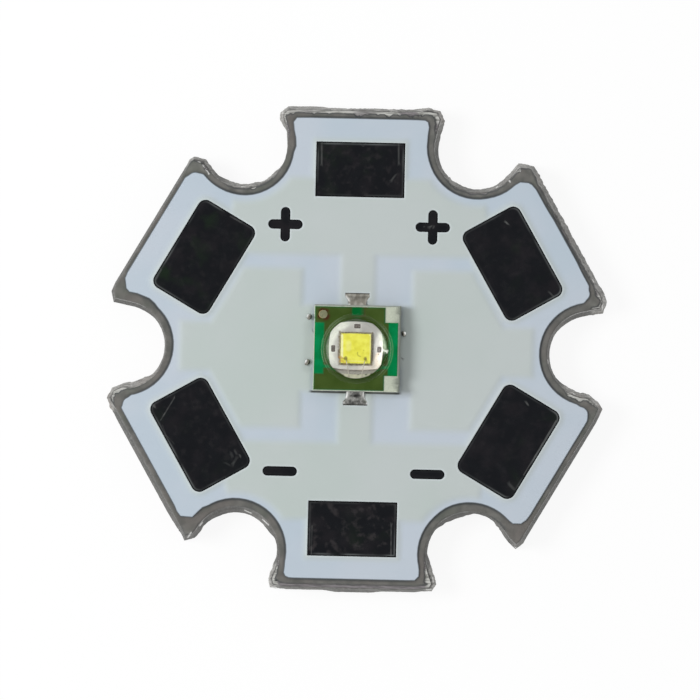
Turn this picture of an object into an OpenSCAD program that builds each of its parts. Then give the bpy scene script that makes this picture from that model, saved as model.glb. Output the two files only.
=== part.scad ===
// High power LED on a star board: a square ceramic package with a clear dome,
// soldered to a six-pointed aluminium-core board with six screw notches.
// The origin is the centre of the back face, +Z points the way the light leaves,
// and +Y points to the positive wire pads.

/* [Board] */
// Distance across the flats
across_flats = 20; // [19.5:0.1:22]
// Thickness of the aluminium core
core_t = 1.4; // [1:0.1:2]
// Thickness of the insulating layer on the core
dielectric_t = 0.1; // [0.06:0.01:0.2]
// Thickness of the copper
copper_t = 0.07; // [0.06:0.005:0.14]
// Thickness of the white mask over the copper
mask_t = 0.03; // [0.02:0.005:0.05]
// Thickness of the white mask beside the copper
mask_bare_t = 0.05; // [0.03:0.005:0.06]
// How far the punched wall slopes out on its way down
flare = 0.15; // [0.05:0.01:0.25]
// Height of the upright stretch of wall below the front
upper_land_h = 0.5; // [0.3:0.05:0.7]
// Height of the upright stretch of wall above the back
lower_land_h = 0.1; // [0.05:0.01:0.2]

/* [Screw notches] */
// Radius of a notch at the back, free for an M3 screw
notch_r = 1.65; // [1.6:0.01:1.75]
// How far the centre of a notch lies inside the flats
notch_inset = 0.35; // [0.25:0.01:0.45]
// How far the tips beside a notch reach past the flats
tip_reach = 0.18; // [0.1:0.01:0.25]
// Rounding between a notch and its tips
mouth_r = 0.4; // [0.3:0.01:0.45]

/* [White mask] */
// Bare border along the four side flats
border_side = 0.19; // [0.1:0.01:0.35]
// Bare border along the top and bottom flats
border_end = 0.38; // [0.25:0.01:0.5]
// Bare border round the notches
border_notch = 0.31; // [0.2:0.01:0.4]
// Rounding of the corners of the mask
mask_corner_r = 0.4; // [0.3:0.01:0.5]

/* [Wire pads] */
// Width of the top and bottom pads
end_pad_w = 3.66; // [3:0.01:3.9]
// Depth of the top and bottom pads, towards the LED
end_pad_d = 2.26; // [1.8:0.01:2.4]
// From the flat edge to the top and bottom pads
end_pad_margin = 1.48; // [1.2:0.01:1.6]
// Width of the four side pads, along their flat
side_pad_w = 4.18; // [3.8:0.01:4.3]
// Depth of the four side pads, towards the LED
side_pad_d = 2.67; // [2.4:0.01:2.8]
// From the flat edge to the side pads
side_pad_margin = 1.34; // [1.2:0.01:1.45]
// Corner rounding of the side pads
side_pad_corner_r = 0.35; // [0.2:0.01:0.5]
// Thickness of the tin on the pads and signs
tin_t = 0.025; // [0.01:0.001:0.03]
// Width of the low rim round the tin of a pad
tin_rim_w = 0.12; // [0.05:0.01:0.2]
// Depth of that rim below the tin
tin_rim_drop = 0.01; // [0.002:0.001:0.012]

/* [Polarity signs] */
// Length of a stroke
stroke_l = 1.42; // [1.1:0.01:1.5]
// Width of a stroke
stroke_w = 0.39; // [0.3:0.01:0.45]
// Gap between a sign and the nearest corner of a side pad, across the board
sign_gap = 0.4; // [0.35:0.01:0.6]
// Height of a sign above the edge of its copper
sign_rise = 1.18; // [1.05:0.01:1.25]

/* [Copper areas] */
// Half height of the thermal copper
wing_half_h = 3.24; // [3.1:0.01:3.35]
// Gap between the thermal copper and the copper of the two poles
net_gap = 0.66; // [0.5:0.01:0.75]
// Where the tall part of the thermal copper starts
wing_x = 2.3; // [2.15:0.01:2.6]
// Half height of the thermal copper beside the LED
shoulder_half_h = 1.75; // [1.5:0.01:2]
// Half height of the tongue between two side pads
tongue_half_h = 0.97; // [0.8:0.01:1.05]
// Height at which the tongue meets the tall part
tongue_root_h = 1.25; // [1.15:0.01:1.4]
// Gap between a pad's opening and the thermal copper
pad_gap = 0.3; // [0.25:0.01:0.4]
// How far copper runs on under the mask round an opening
land_margin = 0.06; // [0.03:0.01:0.1]
// Gap between copper and the edge of the mask at a notch
edge_gap = 0.3; // [0.2:0.01:0.4]
// Half width of the neck that leads to the LED
neck_half_w = 0.68; // [0.6:0.01:0.8]
// How far the copper reaches up beside the top pad
bar_reach = 0.4; // [0.2:0.01:0.6]

/* [Solder joints] */
// Thickness of the solder under the LED
solder_t = 0.06; // [0.045:0.005:0.1]
// Half width of a solder tab at its outer end
tab_half_w = 0.5; // [0.45:0.01:0.55]
// Half width of a solder tab at its waist
waist_half_w = 0.36; // [0.3:0.01:0.42]
// Radius of the hollow sides of a tab
waist_r = 0.42; // [0.38:0.01:0.5]
// Distance of the waist from the package
waist_out = 0.1; // [0.05:0.01:0.2]
// How far a tab reaches past the package
tab_reach = 0.57; // [0.5:0.01:0.65]
// Thickness of a tab at its outer end
tab_end_t = 0.06; // [0.04:0.005:0.09]
// How far the solder climbs the side of the package
climb = 0.15; // [0.08:0.01:0.25]
// Radius of the hollow slope of a tab
slope_r = 0.6; // [0.45:0.01:1]
// Radius of a stray bead of solder
bead_r = 0.1; // [0.06:0.005:0.12]
// Depth of a bead's flat underside
bead_flat_d = 0.025; // [0.01:0.005:0.05]
// Distance of the upper left bead from the package
upper_left_bead_out = 0.22; // [0.2:0.01:0.4]
// Height of the upper left bead in the plan
upper_left_bead_y = 1.29; // [1.1:0.01:1.5]
// Distance of the lower left bead from the package
lower_left_bead_out = 0.25; // [0.2:0.01:0.4]
// Height of the lower left bead in the plan
lower_left_bead_y = -0.58; // [-0.8:0.01:-0.4]
// Distance of the right bead from the package
right_bead_out = 0.19; // [0.15:0.01:0.4]
// Height of the right bead in the plan
right_bead_y = 0.67; // [0.5:0.01:0.9]

/* [LED package] */
// Width of the ceramic tile
tile_w = 3.48; // [3.4:0.01:3.55]
// Thickness of the ceramic tile
tile_t = 0.7; // [0.5:0.05:0.9]
// Thickness of the pads under the tile
under_pad_t = 0.03; // [0.02:0.005:0.05]
// Length of the pads under the tile
under_pad_w = 3; // [2.8:0.05:3.05]
// Depth of an electrode pad
electrode_d = 0.5; // [0.4:0.01:0.55]
// Distance from an electrode pad to the edge of the tile
electrode_margin = 0.03; // [0.02:0.005:0.06]
// Depth of the thermal pad
thermal_pad_d = 1.3; // [1.1:0.01:1.35]
// Radius of a filled hole through the tile
via_r = 0.1; // [0.07:0.005:0.12]
// Distance of those holes from the middle line
via_x = 0.8; // [0.7:0.01:0.95]
// Thickness of the metal film on the tile
film_t = 0.03; // [0.02:0.005:0.035]
// Thickness of the green lacquer
lacquer_t = 0.05; // [0.045:0.005:0.07]
// Bare ceramic round the green lacquer
lacquer_inset = 0.03; // [0.02:0.005:0.06]
// How far the metal film stays inside the green lacquer
film_inset = 0.03; // [0.02:0.005:0.06]
// Distance of the bare side fields from the middle line
side_field_x = 1.3; // [1.2:0.01:1.4]
// Half height of the bare side fields
side_field_half_h = 1.07; // [0.95:0.01:1.1]
// Left edge of the bare field in the top band
top_field_left = -0.22; // [-0.3:0.01:-0.1]
// Width of the bare field in the top band
top_field_w = 0.56; // [0.3:0.01:0.65]
// Lower edge of the bare field in the top band
top_field_y = 1.34; // [1.2:0.01:1.45]
// Width of the white corner openings
corner_open_w = 0.57; // [0.45:0.01:0.6]
// Height of the white corner openings
corner_open_h = 0.65; // [0.55:0.01:0.7]
// Radius of the polarity dot
dot_r = 0.17; // [0.12:0.01:0.2]
// Distance of the polarity dot from both edges of the tile
dot_margin = 0.35; // [0.28:0.01:0.4]

/* [Chip and dome] */
// Radius of the window in the lacquer
window_r = 1.02; // [0.94:0.01:1.08]
// Distance of the window's straight left, right and upper sides from the middle
window_side_d = 0.87; // [0.84:0.01:0.92]
// Thickness of the silver plating
plating_t = 0.012; // [0.005:0.001:0.014]
// Upper edge of the gap between the two poles, below the middle
split_y = 0.66; // [0.6:0.005:0.7]
// Width of the gap between the two poles
split_w = 0.165; // [0.1:0.005:0.18]
// Radius of a dark spot in the plating
spot_r = 0.08; // [0.06:0.005:0.09]
// Distance of the dark spots from the middle
spot_reach = 0.7; // [0.65:0.01:0.74]
// Width of the chip
die_w = 0.94; // [0.8:0.01:0.96]
// Thickness of the chip
die_t = 0.12; // [0.08:0.01:0.2]
// Thickness of the yellow layer
phosphor_t = 0.03; // [0.02:0.005:0.04]
// Radius of the openings in the yellow layer at the wires
bond_window_r = 0.07; // [0.06:0.005:0.09]
// Distance of the wires from the edges of the chip
bond_margin = 0.15; // [0.11:0.005:0.17]
// Radius of a bond wire
wire_r = 0.015; // [0.01:0.001:0.02]
// Radius of the ball at a wire's start
ball_r = 0.038; // [0.03:0.001:0.045]
// Width of the foot at a wire's end
foot_w = 0.06; // [0.045:0.001:0.08]
// Length of that foot
foot_l = 0.075; // [0.05:0.001:0.09]
// Height of the loop of a bond wire over the line between its ends
wire_rise = 0.2; // [0.14:0.01:0.26]
// Distance from a wire's foot to the edge of the window
stitch_margin = 0.03; // [0.01:0.005:0.05]
// Distance of the wire's end from the middle line
stitch_x = 0.22; // [0.1:0.01:0.3]
// Radius of the dome
dome_r = 1.33; // [1.25:0.01:1.4]
// Height of the dome above the lacquer
dome_h = 1.22; // [1.1:0.01:1.3]
// Width of the thin skirt round the dome
skirt_w = 0.11; // [0.06:0.01:0.14]
// Thickness of that skirt
skirt_t = 0.04; // [0.02:0.005:0.08]

/* [Hidden] */
$fn = 64;
// Overshoot of a cutter past the faces that it opens
over = 0.5;
// Plan angles of the six notches and of the four side pads
notch_angles = [0, 60, 120, 180, 240, 300];
side_pad_angles = [30, 150, 210, 330];

// Plan sizes of the board
flat_d = across_flats / 2;
notch_c = flat_d - notch_inset;
tip_d = flat_d + tip_reach;
front_notch_r = notch_r + flare;
mask_notch_r = front_notch_r + border_notch;
copper_notch_r = mask_notch_r + edge_gap;

// Heights of the layers
dielectric_z = core_t;
copper_z = dielectric_z + dielectric_t;
copper_top = copper_z + copper_t;
mask_top = copper_top + mask_t;
under_pad_z = copper_top + solder_t;
tile_z = under_pad_z + under_pad_t;
tile_top = tile_z + tile_t;
film_top = tile_top + film_t;
plating_top = film_top + plating_t;
lacquer_top = tile_top + lacquer_t;
die_top = plating_top + die_t;
phosphor_top = die_top + phosphor_t;

// Places of the wire pads and of the signs
end_pad_y = flat_d - end_pad_margin - end_pad_d / 2;
side_pad_r = flat_d - side_pad_margin - side_pad_d / 2;
side_pad_inner = side_pad_r - side_pad_d / 2;
side_pad_corner_x = side_pad_inner * cos(30) - side_pad_w / 2 * sin(30);
bar_y = wing_half_h + net_gap;
sign_y = bar_y + sign_rise;
sign_x = side_pad_corner_x - sign_gap - stroke_l / 2;

// Places under and round the package
tile_half = tile_w / 2;
electrode_y = tile_half - electrode_margin - electrode_d / 2;
electrode_inner_y = electrode_y - electrode_d / 2;
tab_end_y = tile_half + tab_reach;
land_half_w = under_pad_w / 2 + land_margin;
shoulder_x = land_half_w + pad_gap;
waist_y = tile_half + waist_out;
lacquer_half = tile_half - lacquer_inset;
film_half = lacquer_half - film_inset;
split_low_y = -split_y - split_w;
bond_x = die_w / 2 - bond_margin;
stitch_y = foot_l / 2 + stitch_margin - sqrt(pow(window_r, 2) - pow(stitch_x + foot_w / 2, 2));
dome_z = lacquer_top + dome_h - dome_r;

// Unit vector at an angle, and the vector from one point to another with length 1
function along(a) = [cos(a), sin(a)];
function towards(p, q) = (q - p) / norm(q - p);

// Centre of the rounding between the line with normal a at distance d and a notch
// of radius r, on the left side of the notch's own axis
function rounding_centre(a, d, r, f) =
    let (s = d - f - notch_c * cos(a), t = sqrt(pow(r + f, 2) - s * s))
    [notch_c, 0] + s * along(a) + t * along(a + 90);

// Sharp corner that the rounding replaces
function sharp_corner(a, d, r) =
    let (s = d - notch_c * cos(a), t = sqrt(r * r - s * s))
    [notch_c, 0] + s * along(a) + t * along(a + 90);

// Field between the rounding's centre, its two tangent points and the sharp corner
function corner_field(a, d, r, f) =
    let (p = rounding_centre(a, d, r, f), c = [notch_c, 0], x = sharp_corner(a, d, r))
    [p, p + (f + over) * along(a), x + over * (along(a) + towards(x, c)),
        p + (f + over) * towards(p, c)];

module at_notches() {
    for (a = notch_angles) rotate(a) children();
}

module both_sides() {
    children();
    mirror([0, 1]) children();
}

module layer(z, t) {
    translate([0, 0, z]) linear_extrude(t) children();
}

// What a rounded corner leaves over, as an outline
module corner_waste(a, d, r, f) {
    difference() {
        polygon(corner_field(a, d, r, f));
        translate(rounding_centre(a, d, r, f)) circle(f);
    }
}

// Outline of the board's front face
module front_outline() {
    difference() {
        circle(r = (flat_d - flare) / cos(30), $fn = 6);
        at_notches() {
            translate([notch_c, 0]) circle(front_notch_r);
            translate([tip_d - flare, -flat_d / 2]) square([tip_d, flat_d]);
            both_sides() corner_waste(0, tip_d - flare, front_notch_r, mouth_r - flare);
        }
    }
}

// Outline of the white mask, which has no tips and a wider border at its two ends
module mask_outline() {
    side_d = flat_d - flare - border_side;
    end_d = flat_d - flare - border_end;
    difference() {
        circle(r = side_d / cos(30), $fn = 6);
        both_sides() translate([-flat_d, end_d]) square(across_flats);
        for (a = notch_angles) rotate(a) {
            translate([notch_c, 0]) circle(mask_notch_r);
            for (side = [-1, 1]) mirror([0, side - 1])
                corner_waste(
                    30, (a + 30 * side) % 180 == 90 ? end_d : side_d,
                    mask_notch_r, mask_corner_r
                );
        }
    }
}

// Section between a punched wall and the distance far: the wall's foot is at the
// distance d, and its head is moved by shift
module wall_section(d, shift, far) {
    polygon([
        [far, -over], [d, -over], [d, lower_land_h], [d + shift, core_t - upper_land_h],
        [d + shift, core_t + over], [far, core_t + over]
    ]);
}

// Waste outside a straight punched wall with its normal along +X
module straight_wall_waste(d) {
    rotate([90, 0, 0]) translate([0, 0, -flat_d]) linear_extrude(across_flats)
        wall_section(d, -flare, d + flat_d / 2);
}

// Post that stands where a rounded tip stays, narrower towards the front
module mouth_post() {
    rotate_extrude() wall_section(mouth_r, -flare, 0);
}

// Punch of one notch, wider towards the front
module notch_punch() {
    rotate_extrude() wall_section(notch_r, flare, 0);
}

module aluminium_base() {
    color("silver") difference() {
        linear_extrude(core_t) circle(r = (flat_d + over) / cos(30), $fn = 6);
        for (a = notch_angles) rotate(a) {
            rotate(30) straight_wall_waste(flat_d);
            straight_wall_waste(tip_d);
            translate([notch_c, 0, 0]) notch_punch();
            for (side = [0, 1]) mirror([0, side, 0]) difference() {
                layer(-over / 2, core_t + over)
                    polygon(corner_field(0, tip_d, notch_r, mouth_r));
                translate(rounding_centre(0, tip_d, notch_r, mouth_r)) mouth_post();
            }
        }
    }
}

module dielectric_layer() {
    color("dimgray") layer(dielectric_z, dielectric_t) front_outline();
}

// Rectangle with rounded corners, centred
module rounded_field(w, d, r) {
    square([w - 2 * r, d], center = true);
    square([w, d - 2 * r], center = true);
    for (x = [-1, 1], y = [-1, 1])
        translate([x * (w / 2 - r), y * (d / 2 - r)]) circle(r);
}

// Openings of the wire pads, each grown by g, in the place of the positive side
module end_pad_field(g) {
    translate([0, end_pad_y]) square([end_pad_w + 2 * g, end_pad_d + 2 * g], center = true);
}

module side_pad_field(a, g) {
    rotate(a) translate([side_pad_r, 0])
        rounded_field(side_pad_d + 2 * g, side_pad_w + 2 * g, side_pad_corner_r + g);
}

module stroke() {
    square([stroke_l - stroke_w, stroke_w], center = true);
    for (x = [-1, 1]) translate([x * (stroke_l - stroke_w) / 2, 0]) circle(stroke_w / 2);
}

module plus_field(side) {
    translate([side * sign_x, sign_y]) {
        stroke();
        rotate(90) stroke();
    }
}

module minus_field(side) {
    translate([side * sign_x, -sign_y]) stroke();
}

// Hourglass outline of the solder tab that shows outside the package
module tab_field() {
    difference() {
        translate([-tab_half_w, electrode_y])
            square([2 * tab_half_w, tab_end_y - electrode_y]);
        for (side = [-1, 1])
            translate([side * (waist_half_w + waist_r), waist_y]) circle(waist_r);
    }
}

module electrode_field(g) {
    translate([0, electrode_y])
        square([under_pad_w + 2 * g, electrode_d + 2 * g], center = true);
}

module thermal_field(g) {
    square([under_pad_w + 2 * g, thermal_pad_d + 2 * g], center = true);
}

// Copper of one pole, grown by g, in the place of the positive side
module pole_copper(g) {
    pad_mid = side_pad_r * along(30) + side_pad_w / 2 * along(120);
    bar_top = end_pad_y - bar_reach + g;
    end_x = pad_mid.x + g;
    difference() {
        polygon([
            [-side_pad_r * cos(30), bar_y - g], [side_pad_r * cos(30), bar_y - g],
            [end_x, pad_mid.y], [notch_c * cos(60), bar_top],
            [-notch_c * cos(60), bar_top], [-end_x, pad_mid.y]
        ]);
        for (a = [60, 120]) rotate(a) translate([notch_c, 0]) circle(copper_notch_r - g);
    }
    end_pad_field(land_margin + g);
    for (a = [30, 150]) side_pad_field(a, land_margin + g);
    translate([-neck_half_w - g, electrode_y])
        square([2 * (neck_half_w + g), bar_y - electrode_y + over]);
    electrode_field(land_margin + g);
}

// Copper that carries heat, grown by g: one quarter of its outline, mirrored twice
module thermal_copper_field(g) {
    flank_d = side_pad_inner - pad_gap + g;
    function flank_point(y) = [(flank_d - y * sin(30)) / cos(30), y];
    quarter = [
        [notch_c - copper_notch_r + g, tongue_half_h + g],
        flank_point(tongue_half_h + g), flank_point(tongue_root_h), flank_point(wing_half_h + g),
        [wing_x - g, wing_half_h + g], [wing_x - g, shoulder_half_h + g],
        [shoulder_x - g, shoulder_half_h + g],
        [shoulder_x - g, thermal_pad_d / 2 + land_margin + g]
    ];
    last = len(quarter) - 1;
    polygon(concat(
        quarter,
        [for (i = [last:-1:0]) [-quarter[i].x, quarter[i].y]],
        [for (p = quarter) -p],
        [for (i = [last:-1:0]) [quarter[i].x, -quarter[i].y]]
    ));
}

module positive_copper() {
    color("peru") layer(copper_z, copper_t) pole_copper(0);
}

module negative_copper() {
    color("peru") layer(copper_z, copper_t) mirror([0, 1]) pole_copper(0);
}

module thermal_copper() {
    color("peru") layer(copper_z, copper_t) thermal_copper_field(0);
}

// Every opening of the white mask
module mask_openings() {
    both_sides() {
        end_pad_field(0);
        for (a = [30, 150]) side_pad_field(a, 0);
        electrode_field(0);
        tab_field();
    }
    thermal_field(0);
    for (side = [-1, 1]) {
        plus_field(side);
        minus_field(side);
    }
}

module solder_mask() {
    color("gainsboro") difference() {
        union() {
            layer(copper_z, mask_bare_t) mask_outline();
            layer(copper_z, mask_top - copper_z) {
                both_sides() pole_copper(mask_bare_t);
                thermal_copper_field(mask_bare_t);
            }
        }
        layer(copper_z - over, copper_t + over) {
            both_sides() pole_copper(0);
            thermal_copper_field(0);
        }
        layer(copper_z - over, mask_top - copper_z + 2 * over) mask_openings();
    }
}

// Tin of a pad, flat on top with a lower rim
module end_pad() {
    color("slategray") {
        layer(copper_top, tin_t - tin_rim_drop) end_pad_field(0);
        layer(copper_top, tin_t) end_pad_field(-tin_rim_w);
    }
}

module side_pad(a) {
    color("slategray") {
        layer(copper_top, tin_t - tin_rim_drop) side_pad_field(a, 0);
        layer(copper_top, tin_t) side_pad_field(a, -tin_rim_w);
    }
}

module wire_pad_positive_top() { end_pad(); }
module wire_pad_positive_left() { side_pad(150); }
module wire_pad_positive_right() { side_pad(30); }
module wire_pad_negative_bottom() { mirror([0, 1, 0]) end_pad(); }
module wire_pad_negative_left() { side_pad(210); }
module wire_pad_negative_right() { side_pad(330); }

module sign_tin() {
    color("slategray") layer(copper_top, tin_t) children();
}

module plus_mark_left() { sign_tin() plus_field(-1); }
module plus_mark_right() { sign_tin() plus_field(1); }
module minus_mark_left() { sign_tin() minus_field(-1); }
module minus_mark_right() { sign_tin() minus_field(1); }

// Side view of a tab: it falls in a hollow curve from the package to its outer end
module tab_section() {
    high = [tile_half, tile_z + climb];
    low = [tab_end_y, copper_top + tab_end_t];
    chord = low - high;
    middle = (high + low) / 2;
    lift = sqrt(slope_r * slope_r - pow(norm(chord) / 2, 2));
    centre = middle + lift * [-chord.y, chord.x] / norm(chord);
    difference() {
        polygon([[tile_half, copper_top], high, low, [tab_end_y, copper_top]]);
        translate(centre) circle(slope_r);
    }
}

// Solder of one electrode, in the place of the positive side
module electrode_solder() {
    layer(copper_top, solder_t) electrode_field(0);
    intersection() {
        layer(copper_top, tile_z + climb) tab_field();
        union() {
            rotate([90, 0, 90]) translate([0, 0, -tab_half_w]) linear_extrude(2 * tab_half_w)
                tab_section();
            translate([-tab_half_w, electrode_y, copper_top])
                cube([2 * tab_half_w, tile_half - electrode_y, solder_t]);
        }
    }
}

module anode_solder() { color("lightgray") electrode_solder(); }
module cathode_solder() { color("lightgray") mirror([0, 1, 0]) electrode_solder(); }

module thermal_solder() {
    color("lightgray") layer(copper_top, solder_t) thermal_field(0);
}

// Ball of solder on the raised mask beside the package, with a flat underside
module bead(side, out, y) {
    color("lightgray") translate([side * (tile_half + out), y, mask_top]) intersection() {
        translate([0, 0, bead_r - bead_flat_d]) sphere(bead_r);
        layer(0, 2 * bead_r) square(3 * bead_r, center = true);
    }
}

module solder_bead_upper_left() { bead(-1, upper_left_bead_out, upper_left_bead_y); }
module solder_bead_lower_left() { bead(-1, lower_left_bead_out, lower_left_bead_y); }
module solder_bead_right() { bead(1, right_bead_out, right_bead_y); }

module led_anode_pad() {
    color("gold") layer(under_pad_z, under_pad_t) electrode_field(0);
}

module led_cathode_pad() {
    color("gold") layer(under_pad_z, under_pad_t) mirror([0, 1]) electrode_field(0);
}

module led_thermal_pad() {
    color("gold") layer(under_pad_z, under_pad_t) thermal_field(0);
}

module via(side, pole) {
    color("peru") layer(tile_z, tile_t)
        translate([side * via_x, pole * electrode_y]) circle(via_r);
}

module anode_via_left() { via(-1, 1); }
module anode_via_right() { via(1, 1); }
module cathode_via_left() { via(-1, -1); }
module cathode_via_right() { via(1, -1); }

module led_ceramic() {
    color("antiquewhite") difference() {
        layer(tile_z, tile_t) square(tile_w, center = true);
        layer(tile_z - over, tile_t + 2 * over) for (side = [-1, 1], pole = [-1, 1])
            translate([side * via_x, pole * electrode_y]) circle(via_r);
    }
}

// White corner openings on the right, grown by g
module corner_openings(g) {
    both_sides() translate([tile_half - corner_open_w - g, tile_half - corner_open_h - g])
        square(tile_half);
}

// Window round the chip: a circle with straight left, right and upper sides
module window_field() {
    intersection() {
        circle(window_r);
        translate([-window_side_d, -window_r])
            square([2 * window_side_d, window_r + window_side_d]);
    }
}

// Metal film of both poles before the gap between them
module film_field() {
    difference() {
        square(2 * film_half, center = true);
        for (side = [0, 1]) mirror([side, 0])
            translate([side_field_x, -side_field_half_h]) square([tile_w, 2 * side_field_half_h]);
        translate([top_field_left, top_field_y]) square([top_field_w, tile_w]);
        corner_openings(film_inset);
    }
}

// The gap between the two poles, and everything on either side of it
module split_field() {
    translate([-tile_w, split_low_y]) square([2 * tile_w, split_w]);
}

module anode_side() {
    translate([-tile_w, -split_y]) square([2 * tile_w, 2 * tile_w]);
}

module cathode_side() {
    translate([-tile_w, split_low_y - 2 * tile_w]) square([2 * tile_w, 2 * tile_w]);
}

module led_anode_metal() {
    color("darkgoldenrod") layer(tile_top, film_t) intersection() {
        film_field();
        anode_side();
    }
}

module led_cathode_metal() {
    color("darkgoldenrod") layer(tile_top, film_t) intersection() {
        film_field();
        cathode_side();
    }
}

module dot_field() {
    dot_c = tile_half - dot_margin;
    translate([-dot_c, dot_c]) circle(dot_r);
}

module led_green_mask() {
    color("seagreen") difference() {
        layer(tile_top, lacquer_t) difference() {
            square(2 * lacquer_half, center = true);
            window_field();
            dot_field();
            corner_openings(0);
        }
        layer(tile_top - over, film_t + over) difference() {
            film_field();
            split_field();
        }
    }
}

module led_polarity_dot() {
    color("goldenrod") layer(film_top, lacquer_t - film_t) dot_field();
}

// Dark spots at the given plan angle from the middle of the plating
module spot_field(a) {
    rotate(a) translate([spot_reach, 0]) circle(spot_r);
}

module led_die_pad() {
    color("whitesmoke") layer(film_top, plating_t) difference() {
        intersection() {
            window_field();
            anode_side();
        }
        for (a = [0, 90, 180]) spot_field(a);
    }
}

module led_bond_land() {
    color("whitesmoke") layer(film_top, plating_t) intersection() {
        window_field();
        cathode_side();
    }
}

module die_pad_mark(a) {
    color("saddlebrown") layer(film_top, plating_t) spot_field(a);
}

module die_pad_mark_top() { die_pad_mark(90); }
module die_pad_mark_left() { die_pad_mark(180); }
module die_pad_mark_right() { die_pad_mark(0); }

module led_die() {
    color("lightsteelblue") layer(plating_top, die_t) square(die_w, center = true);
}

// The yellow layer covers the top and the sides of the chip, except at the wires
module led_phosphor() {
    color("gold") difference() {
        layer(plating_top, die_t + phosphor_t)
            square(die_w + 2 * phosphor_t, center = true);
        layer(plating_top - over, die_t + over) square(die_w, center = true);
        for (side = [-1, 1]) translate([side * bond_x, -bond_x, die_top - die_t / 2])
            cylinder(die_t + over, bond_window_r, bond_window_r);
    }
}

// Wire from the chip to the bond land: a ball, an arc in an upright plane and a foot
module bond_wire(side) {
    start = [side * bond_x, -bond_x];
    end = [side * stitch_x, stitch_y];
    run = norm(end - start);
    high = [0, die_top + wire_r];
    low = [run, plating_top + wire_r];
    chord = low - high;
    loop_r = (pow(norm(chord) / 2, 2) + wire_rise * wire_rise) / (2 * wire_rise);
    centre = (high + low) / 2 + (loop_r - wire_rise) * [chord.y, -chord.x] / norm(chord);
    from_angle = atan2(high.y - centre.y, high.x - centre.x);
    to_angle = atan2(low.y - centre.y, low.x - centre.x);
    color("gold") {
        translate([start.x, start.y, die_top]) cylinder(2 * wire_r, ball_r, ball_r);
        translate([start.x, start.y, 0]) rotate(atan2(end.y - start.y, end.x - start.x)) {
            rotate([90, 0, 0]) translate([centre.x, centre.y, 0]) rotate(to_angle)
                rotate_extrude(angle = from_angle - to_angle)
                    translate([loop_r, 0]) circle(wire_r, $fn = 24);
            translate([run, 0, plating_top + wire_r])
                cube([foot_l, foot_w, 2 * wire_r], center = true);
        }
    }
}

module bond_wire_left() { bond_wire(-1); }
module bond_wire_right() { bond_wire(1); }

// Clear dome: a sphere on a thin skirt, which also fills the window round the chip
module led_dome() {
    color("azure", 0.4) difference() {
        union() {
            intersection() {
                translate([0, 0, dome_z]) sphere(dome_r);
                layer(lacquer_top, 2 * dome_r) square(4 * dome_r, center = true);
            }
            layer(lacquer_top, skirt_t) circle(dome_r + skirt_w);
            layer(tile_top, lacquer_t + skirt_t) window_field();
        }
        led_anode_metal();
        led_cathode_metal();
        layer(film_top - over, plating_t + over) difference() {
            circle(window_r + over);
            split_field();
        }
        led_die();
        led_phosphor();
        bond_wire_left();
        bond_wire_right();
    }
}

aluminium_base();
dielectric_layer();
positive_copper();
negative_copper();
thermal_copper();
solder_mask();
wire_pad_positive_top();
wire_pad_positive_left();
wire_pad_positive_right();
wire_pad_negative_bottom();
wire_pad_negative_left();
wire_pad_negative_right();
plus_mark_left();
plus_mark_right();
minus_mark_left();
minus_mark_right();
anode_solder();
cathode_solder();
thermal_solder();
solder_bead_upper_left();
solder_bead_lower_left();
solder_bead_right();
led_anode_pad();
led_cathode_pad();
led_thermal_pad();
led_ceramic();
anode_via_left();
anode_via_right();
cathode_via_left();
cathode_via_right();
led_anode_metal();
led_cathode_metal();
led_green_mask();
led_polarity_dot();
led_die_pad();
led_bond_land();
die_pad_mark_top();
die_pad_mark_left();
die_pad_mark_right();
led_die();
led_phosphor();
bond_wire_left();
bond_wire_right();
led_dome();
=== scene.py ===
import itertools
from collections import Counter
from math import ceil, cos, pi, radians, sin, sqrt, tan

import bmesh
import bpy
import numpy as np
from mathutils import Matrix, Vector
from mathutils.geometry import delaunay_2d_cdt


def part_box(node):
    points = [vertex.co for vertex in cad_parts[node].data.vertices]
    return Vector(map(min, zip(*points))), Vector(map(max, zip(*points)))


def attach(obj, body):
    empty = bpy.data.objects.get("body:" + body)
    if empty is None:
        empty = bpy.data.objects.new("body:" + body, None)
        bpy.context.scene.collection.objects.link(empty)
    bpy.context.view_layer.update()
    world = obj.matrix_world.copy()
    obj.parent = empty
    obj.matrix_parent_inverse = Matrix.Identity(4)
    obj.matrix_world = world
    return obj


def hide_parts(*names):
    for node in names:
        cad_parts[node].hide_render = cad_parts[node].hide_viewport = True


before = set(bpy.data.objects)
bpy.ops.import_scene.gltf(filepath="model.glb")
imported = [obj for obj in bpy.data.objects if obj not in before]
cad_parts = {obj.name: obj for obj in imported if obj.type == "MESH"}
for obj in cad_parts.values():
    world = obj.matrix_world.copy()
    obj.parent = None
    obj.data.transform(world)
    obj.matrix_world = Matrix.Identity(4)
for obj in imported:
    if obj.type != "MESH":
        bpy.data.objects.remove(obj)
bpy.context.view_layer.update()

MM = 0.001
ROOT = "root"


def low(node):
    return np.array(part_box(node)[0]) / MM


def high(node):
    return np.array(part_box(node)[1]) / MM


def middle(node):
    return (low(node) + high(node)) / 2


def half_width(node):
    return (high(node)[0] - low(node)[0]) / 2


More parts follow.
